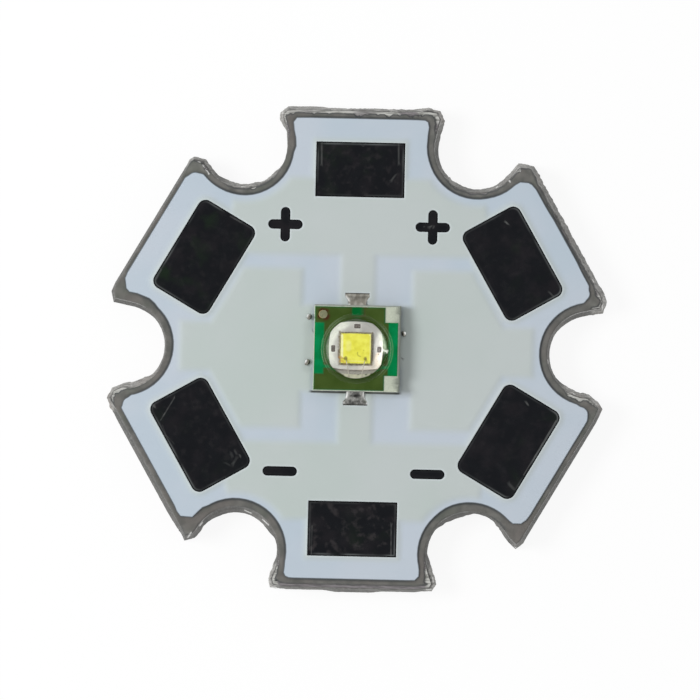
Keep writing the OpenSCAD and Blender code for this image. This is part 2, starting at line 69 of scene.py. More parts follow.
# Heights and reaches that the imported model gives
CORE_TOP = high("aluminium_base")[2]
LAMINATE_TOP = high("dielectric_layer")[2]
COPPER_TOP = high("positive_copper")[2]
MASK_TOP = high("solder_mask")[2]
TIN_TOP = high("plus_mark_left")[2]
SOLDER_TOP = high("thermal_solder")[2]
TILE_LOW = low("led_ceramic")[2]
TILE_TOP = high("led_ceramic")[2]
TILE_HALF = high("led_ceramic")[0]
FILM_TOP = high("led_anode_metal")[2]
LACQUER_TOP = high("led_green_mask")[2]
PLATING_TOP = high("led_die_pad")[2]
CHIP_TOP = high("led_phosphor")[2]
CHIP_HALF = high("led_phosphor")[0]
DOME_TOP = high("led_dome")[2]
SKIRT_R = high("led_dome")[0]
WINDOW_R = -low("led_bond_land")[1]
WALL_FLARE = high("aluminium_base")[1] - high("dielectric_layer")[1]

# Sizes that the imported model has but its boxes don't show
MASK_BARE_T = 0.05
UPPER_LAND_H = 0.5
LOWER_LAND_H = 0.1
DOME_R = 1.33
SKIRT_T = 0.04
TAB_HALF_W = 0.5
WAIST_HALF_W = 0.36
WAIST_R = 0.42
WAIST_OUT = 0.1
TAB_END_T = 0.06
SOLDER_CLIMB = 0.15


# Noise that is the same in each run, and gentle steps
LATTICE = 48


def flat_points(points, height=0.0):
    """Plan points with a third coordinate."""
    return np.column_stack([points, np.full(len(points), height)])


def lattice_noise(points, cell, seed):
    """Smooth noise from -1 to 1 at plan or space points, with bumps about one cell wide."""
    table = np.random.default_rng(seed).uniform(-1, 1, (LATTICE,) * 3)
    scaled = (flat_points(points) if points.shape[1] == 2 else points) / cell
    base = np.floor(scaled).astype(int)
    part = scaled - base
    part = part * part * (3 - 2 * part)
    value = np.zeros(len(points))
    for corner in itertools.product((0, 1), repeat=3):
        weight = np.prod(np.where(corner, part, 1 - part), axis=1)
        index = (base + corner) % LATTICE
        value += weight * table[index[:, 0], index[:, 1], index[:, 2]]
    return value


def rough_noise(points, cell, seed, octaves=3):
    """Sum of noises, each half as wide and about half as strong as the last."""
    total = np.zeros(len(points))
    for octave in range(octaves):
        total += lattice_noise(points, cell / 2**octave, seed + octave) / 1.8**octave
    return total


def unit(value):
    return np.clip(value, 0, 1)


def smooth_step(value, start, end):
    share = unit((value - start) / (end - start))
    return share * share * (3 - 2 * share)


def fade(value, start, end):
    """One up to the start, and nought from the end on."""
    return 1 - smooth_step(value, start, end)


def bell(value, width):
    """One at nought, and nearly nought past twice the width."""
    return np.exp(-((value / width) ** 2))


# Plan outlines
MITRE_LIMIT = 0.6
CORNER_TURN = 17
UPWARD = 0.9
KEYS_PER_METRE = 1e7
SAME_PLACE = 1e-6


def arc(centre, radius, start, end, step=0.03):
    count = max(3, ceil(abs(radians(end - start)) * radius / step))
    angles = np.radians(np.linspace(start, end, count))
    return np.array(centre) + radius * np.column_stack([np.cos(angles), np.sin(angles)])


def rounded_box(half_x, half_y, corner, step):
    """Outline of a rounded rectangle about the origin."""
    return np.vstack([
        arc((sx * (half_x - corner), sy * (half_y - corner)), corner, start, start + 90, step)
        for sx, sy, start in ((1, 1, 0), (-1, 1, 90), (-1, -1, 180), (1, -1, 270))
    ])


def plan_loops(*nodes):
    """Closed plan outlines of the upward faces of CAD nodes, each node's longest first."""
    if len(nodes) > 1:
        return [loop for node in nodes for loop in plan_loops(node)]
    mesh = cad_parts[nodes[0]].data
    places = {}
    uses = Counter()
    for face in mesh.polygons:
        if face.normal.z < UPWARD:
            continue
        keys = []
        for index in face.vertices:
            corner = mesh.vertices[index].co
            key = (round(corner.x * KEYS_PER_METRE), round(corner.y * KEYS_PER_METRE))
            places[key] = (corner.x / MM, corner.y / MM)
            keys.append(key)
        uses.update(zip(keys, keys[1:] + keys[:1]))
    following = {}
    for start, end in sorted(uses):
        if start != end and uses[start, end] > uses[end, start]:
            following.setdefault(start, []).append(end)
    loops = []
    while following:
        first = min(following)
        loop = [first]
        at = following[first].pop()
        while at != first:
            loop.append(at)
            at = following[at].pop()
        following = {key: ends for key, ends in following.items() if ends}
        loops.append(np.array([places[key] for key in loop]))
    return sorted(loops, key=lambda loop: edge_lengths(loop).sum(), reverse=True)


def edge_lengths(loop):
    return np.linalg.norm(np.roll(loop, -1, axis=0) - loop, axis=1)


def subdivide(loop, step):
    """The loop with its long edges cut into steps."""
    parts = []
    for start, end in zip(loop, np.roll(loop, -1, axis=0)):
        count = max(1, ceil(np.linalg.norm(end - start) / step))
        share = np.arange(count)[:, None] / count
        parts.append(start + share * (end - start))
    return np.vstack(parts)


def resample(loop, step):
    """Evenly spaced points along a closed loop, which keeps its corners."""
    loop = loop[edge_lengths(loop) > SAME_PLACE]
    ahead = np.roll(loop, -1, axis=0) - loop
    heading = np.arctan2(ahead[:, 1], ahead[:, 0])
    bend = np.abs((heading - np.roll(heading, 1) + pi) % (2 * pi) - pi)
    corners = np.flatnonzero(bend > radians(CORNER_TURN))
    first = corners[0] if len(corners) else 0
    closed = np.vstack([np.roll(loop, -first, axis=0), loop[first]])
    parts = []
    start = 0
    for end in np.append(corners[1:] - first, len(loop)).astype(int):
        part = closed[start : end + 1]
        run = np.concatenate([[0], np.cumsum(np.linalg.norm(np.diff(part, axis=0), axis=1))])
        places = np.linspace(0, run[-1], max(1, ceil(run[-1] / step)), endpoint=False)
        parts.append(np.column_stack([np.interp(places, run, part[:, axis]) for axis in (0, 1)]))
        start = end
    return np.vstack(parts)


def cornered(loop, corners, reach):
    """The loop with the part near each given path replaced by that path."""
    for path in corners:
        near = path_gap(loop, path) < reach
        start = np.flatnonzero(near & ~np.roll(near, 1))[0]
        loop = np.roll(loop, -start, axis=0)
        loop = np.vstack([path, loop[~np.roll(near, -start)]])
    return loop


def outward(loop, reach=1):
    """Unit normals of a loop, to the right of its direction, smoothed over some points."""
    run = np.zeros_like(loop)
    for shift in range(1, reach + 1):
        run += np.roll(loop, -shift, axis=0) - np.roll(loop, shift, axis=0)
    run /= np.linalg.norm(run, axis=1)[:, None]
    return np.column_stack([run[:, 1], -run[:, 0]])


def mitred(loop, reach):
    """Normals smoothed over some points, longer at corners so that these stay sharp."""
    smooth = outward(loop, reach)
    ahead = np.roll(loop, -1, axis=0) - loop
    ahead /= np.linalg.norm(ahead, axis=1)[:, None]
    square = np.column_stack([ahead[:, 1], -ahead[:, 0]])
    lean = np.minimum((smooth * square).sum(axis=1), (smooth * np.roll(square, 1, axis=0)).sum(axis=1))
    return smooth / np.maximum(lean, MITRE_LIMIT)[:, None]


def path_distance(points, path, closed=True):
    """Distance of each point from a path."""
    ends = np.roll(path, -1, axis=0) if closed else path[1:]
    best = np.full(len(points), np.inf)
    for start, end in zip(path, ends):
        run = end - start
        along = unit((points - start) @ run / max(run @ run, 1e-12))
        gap = points - start - along[:, None] * run
        best = np.minimum(best, gap[:, 0] ** 2 + gap[:, 1] ** 2)
    return np.sqrt(best)


def path_gap(points, path):
    """Distance of each point from an open path."""
    return path_distance(points, np.array(path), closed=False)


def loops_distance(points, loops):
    return np.min([path_distance(points, loop) for loop in loops], axis=0)


def within(points, rings):
    """Whether each point lies in an odd number of the rings, so in one but in no hole."""
    x, y = points.T
    odd = np.zeros(len(points), bool)
    for ring in rings:
        for (x0, y0), (x1, y1) in zip(ring, np.roll(ring, -1, axis=0)):
            if y0 == y1:
                continue
            crosses = (y0 > y) != (y1 > y)
            odd ^= crosses & (x < x0 + (y - y0) * (x1 - x0) / (y1 - y0))
    return odd


def depth_inside(points, loops):
    """Distance from the edge of the nearest loop, positive within one and else negative."""
    signs = [np.where(within(points, [loop]), 1, -1) for loop in loops]
    return np.max([sign * path_distance(points, loop) for sign, loop in zip(signs, loops)], axis=0)


# Meshes. A row of points along a loop keeps a share of its inset from every loop, extra
# points keep a share of the border's step, and the grid shares of its own spacing.
ROW_SHARE = 0.75
EXTRA_SHARE = 0.3
GRID_SHARE = 0.6
GRID_FROM_EXTRA = 0.5
GRID_SHAKE = 0.12
TRIANGLE_H = sqrt(0.75)
BETWEEN_EDGES = 1
MERGE_REACH = 1e-9
SLAB_SHARP = 50
WALL_SHARP = 60
BEAD_SHARP = 70
LATHE_SHARP = 35


def make_object(name, vertices, faces, sharp=SLAB_SHARP, slots=None, attributes=None):
    """Mesh object from points in millimetres, with smooth shading up to an angle."""
    mesh = bpy.data.meshes.new(name)
    mesh.from_pydata((np.asarray(vertices) * MM).tolist(), [], faces)
    for key, values in (attributes or {}).items():
        layer = mesh.attributes.new(key, "FLOAT", "POINT")
        layer.data.foreach_set("value", np.asarray(values, np.float32))
    if slots is not None:
        mesh.polygons.foreach_set("material_index", np.asarray(slots, np.int32))
    mesh.validate()
    mesh.shade_smooth()
    mesh.set_sharp_from_angle(angle=radians(sharp))
    made = bpy.data.objects.new(name, mesh)
    bpy.context.scene.collection.objects.link(made)
    return made


def ring_edges(*rings):
    """Index pairs of neighbours round each ring, numbered on through all the rings."""
    edges = []
    start = 0
    for ring in rings:
        count = len(ring)
        edges += [(start + i, start + (i + 1) % count) for i in range(count)]
        start += count
    return edges


def triangulate(points, rings):
    """Triangles over the plan points within the first ring and outside the others."""
    places = [Vector(p) for p in points]
    result = delaunay_2d_cdt(places, ring_edges(*rings), [], BETWEEN_EDGES, MERGE_REACH)
    origin = [sources[0] for sources in result[3]]
    faces = [[origin[i] for i in face] for face in result[2]]
    middles = np.array([points[face].mean(axis=0) for face in faces])
    return [face for face, kept in zip(faces, within(middles, rings)) if kept]


def grid_points(rings, spacing, seed):
    """Points of a slightly uneven triangular grid over the rings."""
    corner = np.min([ring.min(axis=0) for ring in rings], axis=0)
    reach = np.max([ring.max(axis=0) for ring in rings], axis=0)
    rows = np.arange(corner[1], reach[1], spacing * TRIANGLE_H)
    columns = np.arange(corner[0], reach[0], spacing)
    x, y = np.meshgrid(columns, rows)
    x = x + np.where(np.arange(len(rows)) % 2, spacing / 2, 0)[:, None]
    points = np.column_stack([x.ravel(), y.ravel()])
    shake = np.random.default_rng(seed).uniform(-GRID_SHAKE, GRID_SHAKE, points.shape)
    return points + shake * spacing


def path_clear(points, places, gap):
    """Which points keep a gap from all the given places."""
    taken = set()
    for i, j in np.floor(places / gap).astype(int):
        taken.update(itertools.product((i - 1, i, i + 1), (j - 1, j, j + 1)))
    cells = np.floor(points / gap).astype(int)
    return np.array([(i, j) not in taken for i, j in cells.tolist()], bool)


def relief(name, loops, shape, spacing, insets, step, extra=None, seed=1):
    """Closed slab over plan loops. shape(points, edge) gives the top heights, the bottom
    heights and the attributes; edge is the distance from the nearest loop. Rows of points
    follow the loops at the insets, and a grid or the extra points fill the rest."""
    rings = [subdivide(loop, step) for loop in loops]
    border = np.vstack(rings)
    near = []
    for ring, inset in itertools.product(rings, insets):
        moved = ring - inset * outward(ring)
        near.append(moved[loops_distance(moved, loops) > ROW_SHARE * inset])
    grid = grid_points(rings, spacing, seed)
    grid = grid[within(grid, loops)]
    grid = grid[loops_distance(grid, loops) > max(insets) + GRID_SHARE * spacing]
    if extra is not None:
        near.append(extra[loops_distance(extra, loops) > EXTRA_SHARE * step])
        grid = grid[path_clear(grid, extra, GRID_FROM_EXTRA * spacing)]
    points = np.vstack([border, *near, grid])
    faces = triangulate(points, rings)
    used = np.zeros(len(points), bool)
    used[: len(border)] = True
    used[np.unique(np.concatenate(faces))] = True
    index = np.cumsum(used) - 1
    points = points[used]
    faces = [[int(index[i]) for i in face] for face in faces]
    edge = loops_distance(points, loops)
    edge[: len(border)] = 0
    top, bottom, attributes = shape(points, edge)
    count = len(points)
    bottom = np.broadcast_to(bottom, count)
    under = points
    under_faces = faces
    if np.ptp(bottom) < MERGE_REACH:
        under = points[: len(border)]
        under_faces = triangulate(under, rings)
    vertices = np.vstack([
        np.column_stack([points, top]),
        np.column_stack([under, bottom[: len(under)]]),
    ])
    walls = [[b, a, count + a, count + b] for a, b in ring_edges(*rings)]
    below = [[count + i for i in reversed(face)] for face in under_faces]
    spread = {}
    for key, values in attributes.items():
        values = unit(np.broadcast_to(values, count))
        spread[key] = np.concatenate([values, values[: len(under)]])
    return make_object(name, vertices, faces + walls + below, attributes=spread)


def place(piece, slot, paints, *nodes):
    """The piece gets its paints, rides on the board and stands for the given CAD nodes."""
    for paint in paints:
        piece.data.materials.append(paint)
    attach(piece, ROOT)
    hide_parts(*nodes)


# Materials
class Nodes:
    """A node tree, with short calls for what the materials and the world here use."""

    def __init__(self, owner):
        owner.use_nodes = True
        self.tree = owner.node_tree

    def node(self, kind, **settings):
        made = self.tree.nodes.new(kind)
        for key, value in settings.items():
            setattr(made, key, value)
        return made

    def feed(self, socket, value):
        """Links a node's output to a socket, or sets the socket to a plain value."""
        if isinstance(value, bpy.types.NodeSocket):
            self.tree.links.new(value, socket)
        elif isinstance(value, tuple) and len(value) == 3 and socket.type == "RGBA":
            socket.default_value = (*value, 1)
        else:
            socket.default_value = value

    def steps(self, value, start, end, first=0.0, last=1.0):
        """The value spread from start..end to first..last, and clamped there."""
        made = self.node("ShaderNodeMapRange", interpolation_type="SMOOTHSTEP")
        names = ("Value", "From Min", "From Max", "To Min", "To Max")
        for name, given in zip(names, (value, start, end, first, last)):
            self.feed(made.inputs[name], given)
        return made.outputs["Result"]

    def math(self, operation, first, second):
        made = self.node("ShaderNodeMath", operation=operation)
        self.feed(made.inputs[0], first)
        self.feed(made.inputs[1], second)
        return made.outputs[0]

    def any_ray(self, *kinds):
        """One for rays of the given kinds."""
        path = self.node("ShaderNodeLightPath")
        value = path.outputs[kinds[0]]
        for kind in kinds[1:]:
            value = self.math("MAXIMUM", value, path.outputs[kind])
        return value

    def seen_rays(self):
        """One for the rays that look at the background, and nought for those that light."""
        return self.any_ray("Is Camera Ray", "Is Glossy Ray", "Is Transmission Ray")

    def blend(self, share, first, second, output):
        """Mixes the shaders of two nodes as the surface."""
        made = self.node("ShaderNodeMixShader")
        for socket, value in zip(made.inputs, (share, first.outputs[0], second.outputs[0])):
            self.feed(socket, value)
        self.feed(self.tree.nodes[output].inputs["Surface"], made.outputs[0])


class Paint(Nodes):
    """A material of one main shader, whose sockets are given by name."""

    def __init__(self, name, **sockets):
        self.material = bpy.data.materials.new(name)
        super().__init__(self.material)
        self.shader = self.tree.nodes["Principled BSDF"]
        for key, value in sockets.items():
            self.set(key.replace("_", " ").title().replace("Ior", "IOR"), value)

    def set(self, name, value):
        self.feed(self.shader.inputs[name], value)

    def attribute(self, name):
        return self.node("ShaderNodeAttribute", attribute_name=name).outputs["Fac"]

    def noise(self, size, detail=3.0, stretch=(1, 1, 1), turn=0.0):
        """Noise with bumps of about the given size in millimetres."""
        mapping = self.node("ShaderNodeMapping")
        mapping.inputs["Rotation"].default_value[2] = turn
        mapping.inputs["Scale"].default_value = stretch
        made = self.node("ShaderNodeTexNoise")
        self.feed(mapping.inputs["Vector"], self.node("ShaderNodeTexCoord").outputs["Object"])
        self.feed(made.inputs["Vector"], mapping.outputs["Vector"])
        made.inputs["Scale"].default_value = 1 / (size * MM)
        made.inputs["Detail"].default_value = detail
        return made.outputs["Fac"]

    def cloud(self, size, detail=3.0, start=0.3, end=0.7, first=0.0, last=1.0, **settings):
        """Noise that is spread to first..last."""
        return self.steps(self.noise(size, detail, **settings), start, end, first, last)

    def mix(self, share, first, second):
        made = self.node("ShaderNodeMix", data_type="RGBA")
        for index, value in ((0, share), (6, first), (7, second)):
            self.feed(made.inputs[index], value)
        return made.outputs[2]

    def patches(self, colour, tint, share, size, detail, start, end, **settings):
        """The colour with patches of another one that cover it up to a share."""
        return self.mix(self.cloud(size, detail, start, end, 0.0, share, **settings), colour, tint)

    def layers(self, colour, **tints):
        """The colour under further ones, each where the attribute of its name says."""
        for name, tint in tints.items():
            colour = self.mix(self.attribute(name), colour, tint)
        return colour

    def finish(self, colour, *bumps):
        """Sets the colour and the bumps: height, depth in millimetres and strength."""
        self.set("Base Color", colour)
        before = None
        for height, depth, strength in bumps:
            made = self.node("ShaderNodeBump")
            self.feed(made.inputs["Height"], height)
            made.inputs["Distance"].default_value = depth * MM
            made.inputs["Strength"].default_value = strength
            if before is not None:
                self.feed(made.inputs["Normal"], before)
            before = made.outputs["Normal"]
        if before is not None:
            self.set("Normal", before)
        return self.material


def mask_paint():
    """White lacquer, bluish on the bare laminate and greyer over copper, with a painted highlight round its
    openings, painted shade along its outer edge, small stains and painted shadow near the package.
    """
    paint = Paint("white_lacquer")
    bare = paint.mix(paint.cloud(3.0, 2), (0.48, 0.56, 0.635), (0.52, 0.58, 0.65))
    coated = paint.mix(paint.cloud(4.0, 2), (0.49, 0.555, 0.535), (0.515, 0.565, 0.56))
    colour = paint.layers(
        bare,
        copper=coated,
        # painted highlight on the edge of every opening
        halo=(0.62, 0.68, 0.70),
        # two small stains, and painted shadow at the package's south foot and west of it
        grime=(0.055, 0.06, 0.055),
        # painted shade along the mask's outer edge
        rim=(0.055, 0.066, 0.075),
    )
    paint.set("Roughness", paint.cloud(0.5, first=0.42, last=0.55))
    return paint.finish(colour, (paint.noise(0.35, 4), 0.004, 0.5))


def laminate_paint():
    """Grey-brown resin with painted shade in a dark line beside the mask and along its chipped edge."""
    paint = Paint("grey_laminate", roughness=0.55)
    colour = paint.mix(paint.cloud(0.5), (0.092, 0.094, 0.086), (0.152, 0.148, 0.137))
    colour = paint.patches(colour, (0.150, 0.130, 0.120), 0.45, 1.6, 2, 0.45, 0.7)
    colour = paint.patches(colour, (0.100, 0.113, 0.092), 0.5, 0.9, 2, 0.5, 0.72, turn=1.0)
    colour = paint.patches(colour, (0.22, 0.21, 0.2), 0.3, 0.1, 3, 0.6, 0.8)
    colour = paint.layers(
        colour,
        pale=(0.30, 0.30, 0.28),
        # painted shade beside the mask and along the chipped edge
        dark=(0.030, 0.036, 0.041),
        glint=(0.9, 0.9, 0.88),
    )
    return paint.finish(colour, (paint.noise(0.1), 0.006, 0.5))


def punched_paint():
    """Punched wall: a bright land with upright lines above, and below it dull and torn, darker partly from
    its own tone and partly as painted shade and dark reflection, with painted shade in the crack under the
    laminate.
    """
    paint = Paint("punched_wall", specular_ior_level=0.25)
    upright = (1, 1, 0.3)
    # dark partly from the fracture's own dull tone and partly as painted shade and dark reflection
    dull = paint.mix(paint.cloud(0.45, stretch=upright), (0.070, 0.072, 0.066), (0.110, 0.106, 0.098))
    grain = paint.noise(0.11, 4, stretch=(0.4, 1, 0.4))
    rough = paint.mix(paint.steps(grain, 0.32, 0.66), (0.23, 0.227, 0.215), (0.54, 0.53, 0.505))
    rough = paint.patches(rough, (0.30, 0.24, 0.21), 0.4, 0.9, 2, 0.5, 0.75, stretch=upright)
    drag = paint.cloud(0.08, 3, 0.45, 0.72, stretch=(1, 1, 0.1))
    colour = paint.mix(
        paint.math("MULTIPLY", drag, 0.4),
        paint.layers(dull, light=rough),
        (0.25, 0.25, 0.24),
    )
    lines = paint.noise(0.05, 3, stretch=(1, 1, 0.06))
    bright = paint.mix(paint.steps(lines, 0.35, 0.65), (0.32, 0.32, 0.31), (0.54, 0.54, 0.53))
    colour = paint.layers(
        colour,
        land=bright,
        # painted shade in the crack under the laminate
        crack=(0.03, 0.03, 0.032),
        glint=(0.95, 0.95, 0.93),
    )
    paint.set("Metallic", paint.math("MAXIMUM", paint.attribute("land"), 0.08))
    paint.set("Roughness", paint.steps(paint.attribute("land"), 0.0, 1.0, 0.55, 0.36))
    return paint.finish(colour, (grain, 0.012, 0.6), (drag, 0.008, 0.5), (lines, 0.004, 0.5))


def ledge_paint():
    """Bare metal beside the laminate's chipped edge, drawn out in streaks."""
    paint = Paint("drawn_ledge", roughness=0.5, metallic=0.1)
    streak = paint.noise(0.07, 3, stretch=(0.12, 1, 1))
    dull = paint.mix(paint.steps(streak, 0.35, 0.65), (0.13, 0.122, 0.125), (0.27, 0.25, 0.26))
    bright = paint.mix(paint.steps(streak, 0.35, 0.6), (0.26, 0.26, 0.24), (0.60, 0.60, 0.57))
    share = paint.steps(paint.attribute("light"), 0.45, 0.75)
    return paint.finish(paint.mix(share, dull, bright), (streak, 0.008, 0.5))


def brushed_paint():
    """Brushed aluminium of the back face."""
    paint = Paint("brushed_back", metallic=1.0)
    lines = paint.noise(0.09, 4, stretch=(1, 0.02, 1))
    broad = paint.cloud(2.5, stretch=(1, 0.3, 1))
    colour = paint.mix(broad, (0.60, 0.60, 0.60), (0.72, 0.72, 0.71))
    colour = paint.mix(paint.steps(lines, 0.55, 0.8), colour, (0.48, 0.48, 0.48))
    paint.set("Roughness", paint.steps(lines, 0.3, 0.7, 0.28, 0.46))
    return paint.finish(colour, (lines, 0.004, 0.6))


def tin_paint():
    """Mirror-like tin, near-black as a painted dark reflection, with a painted highlight line inside its
    edges, scratches and stains.
    """
    paint = Paint("tin_painted_dark_reflection", metallic=1.0)
    # near-black: painted dark reflection of the surroundings
    colour = paint.mix(paint.cloud(0.7, 4, 0.42, 0.72), (0.027, 0.029, 0.034), (0.040, 0.038, 0.044))
    bloom = paint.attribute("bloom")
    colour = paint.patches(colour, (0.035, 0.06, 0.035), bloom, 1.1, 3, 0.52, 0.75, turn=0.8)
    colour = paint.patches(colour, (0.085, 0.078, 0.082), paint.attribute("mottle"), 0.28, 4, 0.5, 0.72)
    colour = paint.layers(
        colour,
        # painted highlight along the curved edge of the tin
        line=(0.26, 0.28, 0.28),
        scratch=(0.34, 0.35, 0.34),
        rim=(0.010, 0.011, 0.012),
    )
    paint.set("Roughness", paint.cloud(0.5, first=0.12, last=0.3))
    return paint.finish(colour, (paint.noise(0.6), 0.01, 0.5))


def solder_paint(name, pale, dark, shine):
    """Solder that goes from pale to dark in patches."""
    paint = Paint(name, metallic=1.0)
    colour = paint.mix(paint.cloud(0.16, 4, 0.38, 0.62, stretch=(1, 0.4, 1)), pale, dark)
    colour = paint.layers(colour, shade=(0.03, 0.03, 0.028), glint=(0.97, 0.97, 0.95))
    paint.set("Roughness", paint.cloud(0.1, first=shine, last=shine + 0.15))
    return paint.finish(colour, (paint.noise(0.12), 0.02, 0.6))


def ceramic_paint():
    paint = Paint("white_ceramic", roughness=0.55)
    grain = paint.noise(0.05, 4)
    colour = paint.layers(
        paint.mix(paint.steps(grain, 0.3, 0.7), (0.47, 0.51, 0.41), (0.56, 0.60, 0.49)),
        # painted shade on the leaning north and east sides
        side=(0.24, 0.26, 0.23),
        # floor of the gap, grey-brown partly as filling and partly as painted shade
        gap=(0.33, 0.32, 0.27),
        gap_shade=(0.17, 0.155, 0.135),
        # olive-dark beyond the slanted ends of the bond land
        covered=(0.045, 0.062, 0.018),
    )
    return paint.finish(colour, (grain, 0.003, 0.5))


def lacquer_paint():
    """Green lacquer: bright on bare ceramic, olive over the metal film, with painted shade under the dome's
    foot and painted reflections of the dome.
    """
    paint = Paint("green_lacquer", roughness=0.3, specular_ior_level=0.06)
    cloud = paint.cloud(0.5)
    bright = paint.mix(cloud, (0.0, 0.170, 0.046), (0.001, 0.235, 0.074))
    colour = paint.layers(
        bright,
        dim=(0.0, 0.095, 0.015),
        film=paint.mix(cloud, (0.040, 0.072, 0.012), (0.053, 0.090, 0.018)),
        pale_spot=(0.06, 0.17, 0.07),
        # painted shade under the dome's foot
        under=(0.012, 0.024, 0.004),
        # painted reflections of the dome: arcs at its skirt, gleams at its sides and a white spike
        arc=(0.36, 0.50, 0.30),
        gleam=(0.52, 0.64, 0.44),
        spike=(0.90, 0.92, 0.82),
        seam=(0.055, 0.05, 0.015),
        dot_ring=(0.060, 0.022, 0.010),
    )
    return paint.finish(colour, (paint.noise(0.2), 0.003, 0.4))


def plain_paint(name, first, second, size, metallic, rough):
    """A finish that wanders between two colours."""
    paint = Paint(name, metallic=metallic)
    grain = paint.noise(size, 4)
    paint.set("Roughness", paint.steps(grain, 0.3, 0.7, rough, rough + 0.12))
    return paint.finish(paint.mix(paint.steps(grain, 0.3, 0.7), first, second), (grain, 0.004, 0.5))


def silver_paint():
    """Bright plating round the chip with cream, dim and stained patches, painted highlights where the dome
    reflects and painted shade beside the chip.
    """
    paint = Paint("silver_plating", metallic=0.3, roughness=0.4)
    cloud = paint.cloud(0.3)
    colour = paint.layers(
        paint.mix(cloud, (0.57, 0.565, 0.52), (0.70, 0.70, 0.64)),
        dim=(0.36, 0.355, 0.34),
        cream=paint.mix(cloud, (0.76, 0.66, 0.53), (0.95, 0.88, 0.74)),
        # painted highlights where the dome reflects
        bright=(0.95, 0.98, 0.86),
        shadow=(0.17, 0.135, 0.075),
        land=paint.mix(cloud, (0.48, 0.48, 0.34), (0.64, 0.63, 0.46)),
        stain=(0.46, 0.23, 0.06),
        # olive-dark beyond the slanted ends of the bond land and in patches near its edge
        covered=(0.045, 0.062, 0.018),
    )
    return paint.finish(colour, (paint.noise(0.15), 0.006, 0.5))


def phosphor_paint():
    """Yellow layer with gritty flanks, painted highlights near its edges and dark rings at the wires."""
    paint = Paint("yellow_phosphor", roughness=0.6, specular_ior_level=0.1)
    colour = paint.layers(
        paint.mix(paint.cloud(0.18), (0.75, 0.71, 0.055), (0.85, 0.83, 0.10)),
        # painted highlights: reflections of the lights in the dome, and lit edge lines
        gloss=(0.93, 0.92, 0.50),
        flank=paint.mix(paint.cloud(0.05, 2, 0.35, 0.6), (0.10, 0.085, 0.03), (0.42, 0.38, 0.20)),
        bond=(0.26, 0.19, 0.015),
        stain=(0.50, 0.27, 0.03),
        scratch=(0.22, 0.19, 0.015),
    )
    return paint.finish(colour, (paint.noise(0.04), 0.004, 0.5))


def wire_paint():
    """Pale gold wire, dull yellow where it is bonded to the chip."""
    paint = Paint("pale_wire", metallic=0.2, roughness=0.35)
    split = paint.node("ShaderNodeSeparateXYZ")
    paint.feed(split.inputs[0], paint.node("ShaderNodeTexCoord").outputs["Object"])
    off_chip = paint.steps(split.outputs["Y"], -0.36 * MM, -0.47 * MM)
    grain = paint.cloud(0.08)
    pale = paint.mix(grain, (0.46, 0.43, 0.34), (0.56, 0.52, 0.42))
    return paint.finish(paint.mix(off_chip, (0.30, 0.26, 0.03), pale), (grain, 0.001, 0.3))


def silicone_paint():
    """Clear silicone, through which light and shadow rays pass unbent."""
    paint = Paint("clear_silicone", roughness=0.0, transmission_weight=1.0, ior=1.41)
    free = paint.any_ray("Is Shadow Ray", "Is Diffuse Ray")
    paint.blend(free, paint.shader, paint.node("ShaderNodeBsdfTransparent"), "Material Output")
    return paint.finish(paint.mix(paint.noise(1.5), (0.985, 0.99, 0.985), (1.0, 1.0, 1.0)))


def spot_paint():
    """Dark brown spot with a paler middle."""
    paint = Paint("brown_spot", roughness=0.4)
    dark = paint.mix(paint.cloud(0.05), (0.050, 0.038, 0.030), (0.095, 0.075, 0.060))
    share = paint.math("MULTIPLY", paint.attribute("middle"), 0.7)
    return paint.finish(paint.mix(share, dark, (0.21, 0.195, 0.16)), (paint.noise(0.04), 0.003, 1.0))


# Camera, light and floor
VIEW_DISTANCE = 300
SENSOR = 36
SEEN_WIDTH = 28.78
TILT_SOUTH = 1.5
TILT_EAST = 1.1
ROLL = 1.28
AIM_IN_PICTURE = (-0.259, -0.032)


def add_camera():
    back = Vector((tan(radians(TILT_EAST)), -tan(radians(TILT_SOUTH)), 1)).normalized()
    roll = radians(ROLL)
    right = Vector((cos(roll), sin(roll), 0))
    right = (right - right.dot(back) * back).normalized()
    up = back.cross(right)
    front = Vector((0, 0, MASK_TOP))
    target = front + right * AIM_IN_PICTURE[0] + up * AIM_IN_PICTURE[1]
    data = bpy.data.cameras.new("camera")
    data.sensor_width = SENSOR
    data.lens = SENSOR * VIEW_DISTANCE / SEEN_WIDTH
    data.clip_start = 0.01
    data.clip_end = 5
    camera = bpy.data.objects.new("camera", data)
    bpy.context.scene.collection.objects.link(camera)
    camera.matrix_world = Matrix.Translation((target + back * VIEW_DISTANCE) * MM) @ Matrix(
        (right, up, back)
    ).transposed().to_4x4()
    bpy.context.scene.camera = camera


WORLD_LEVEL = 0.56
LAMP_SHARE = 0.44
LAMP_AT = (-110, 12, 125)
LAMP_SIZE = 70
ZENITH_LEVEL = 0.4
ZENITH_FROM = 0.75
ZENITH_TO = 0.97
FLOOR_HALF = 400
FLOOR_GAP = 0.005
FLOOR_GLOW = 0.9


def add_lamp():
    place_at = Vector(LAMP_AT) * MM
    data = bpy.data.lights.new("soft_key", "AREA")
    data.shape = "DISK"
    data.size = LAMP_SIZE * MM
    slant = place_at.z / place_at.length
    data.energy = LAMP_SHARE * pi * pi * place_at.length_squared / slant
    lamp = bpy.data.objects.new("soft_key", data)
    lamp.location = place_at
    lamp.rotation_mode = "QUATERNION"
    lamp.rotation_quaternion = place_at.to_track_quat("Z", "Y")
    lamp.visible_glossy = False
    bpy.context.scene.collection.objects.link(lamp)


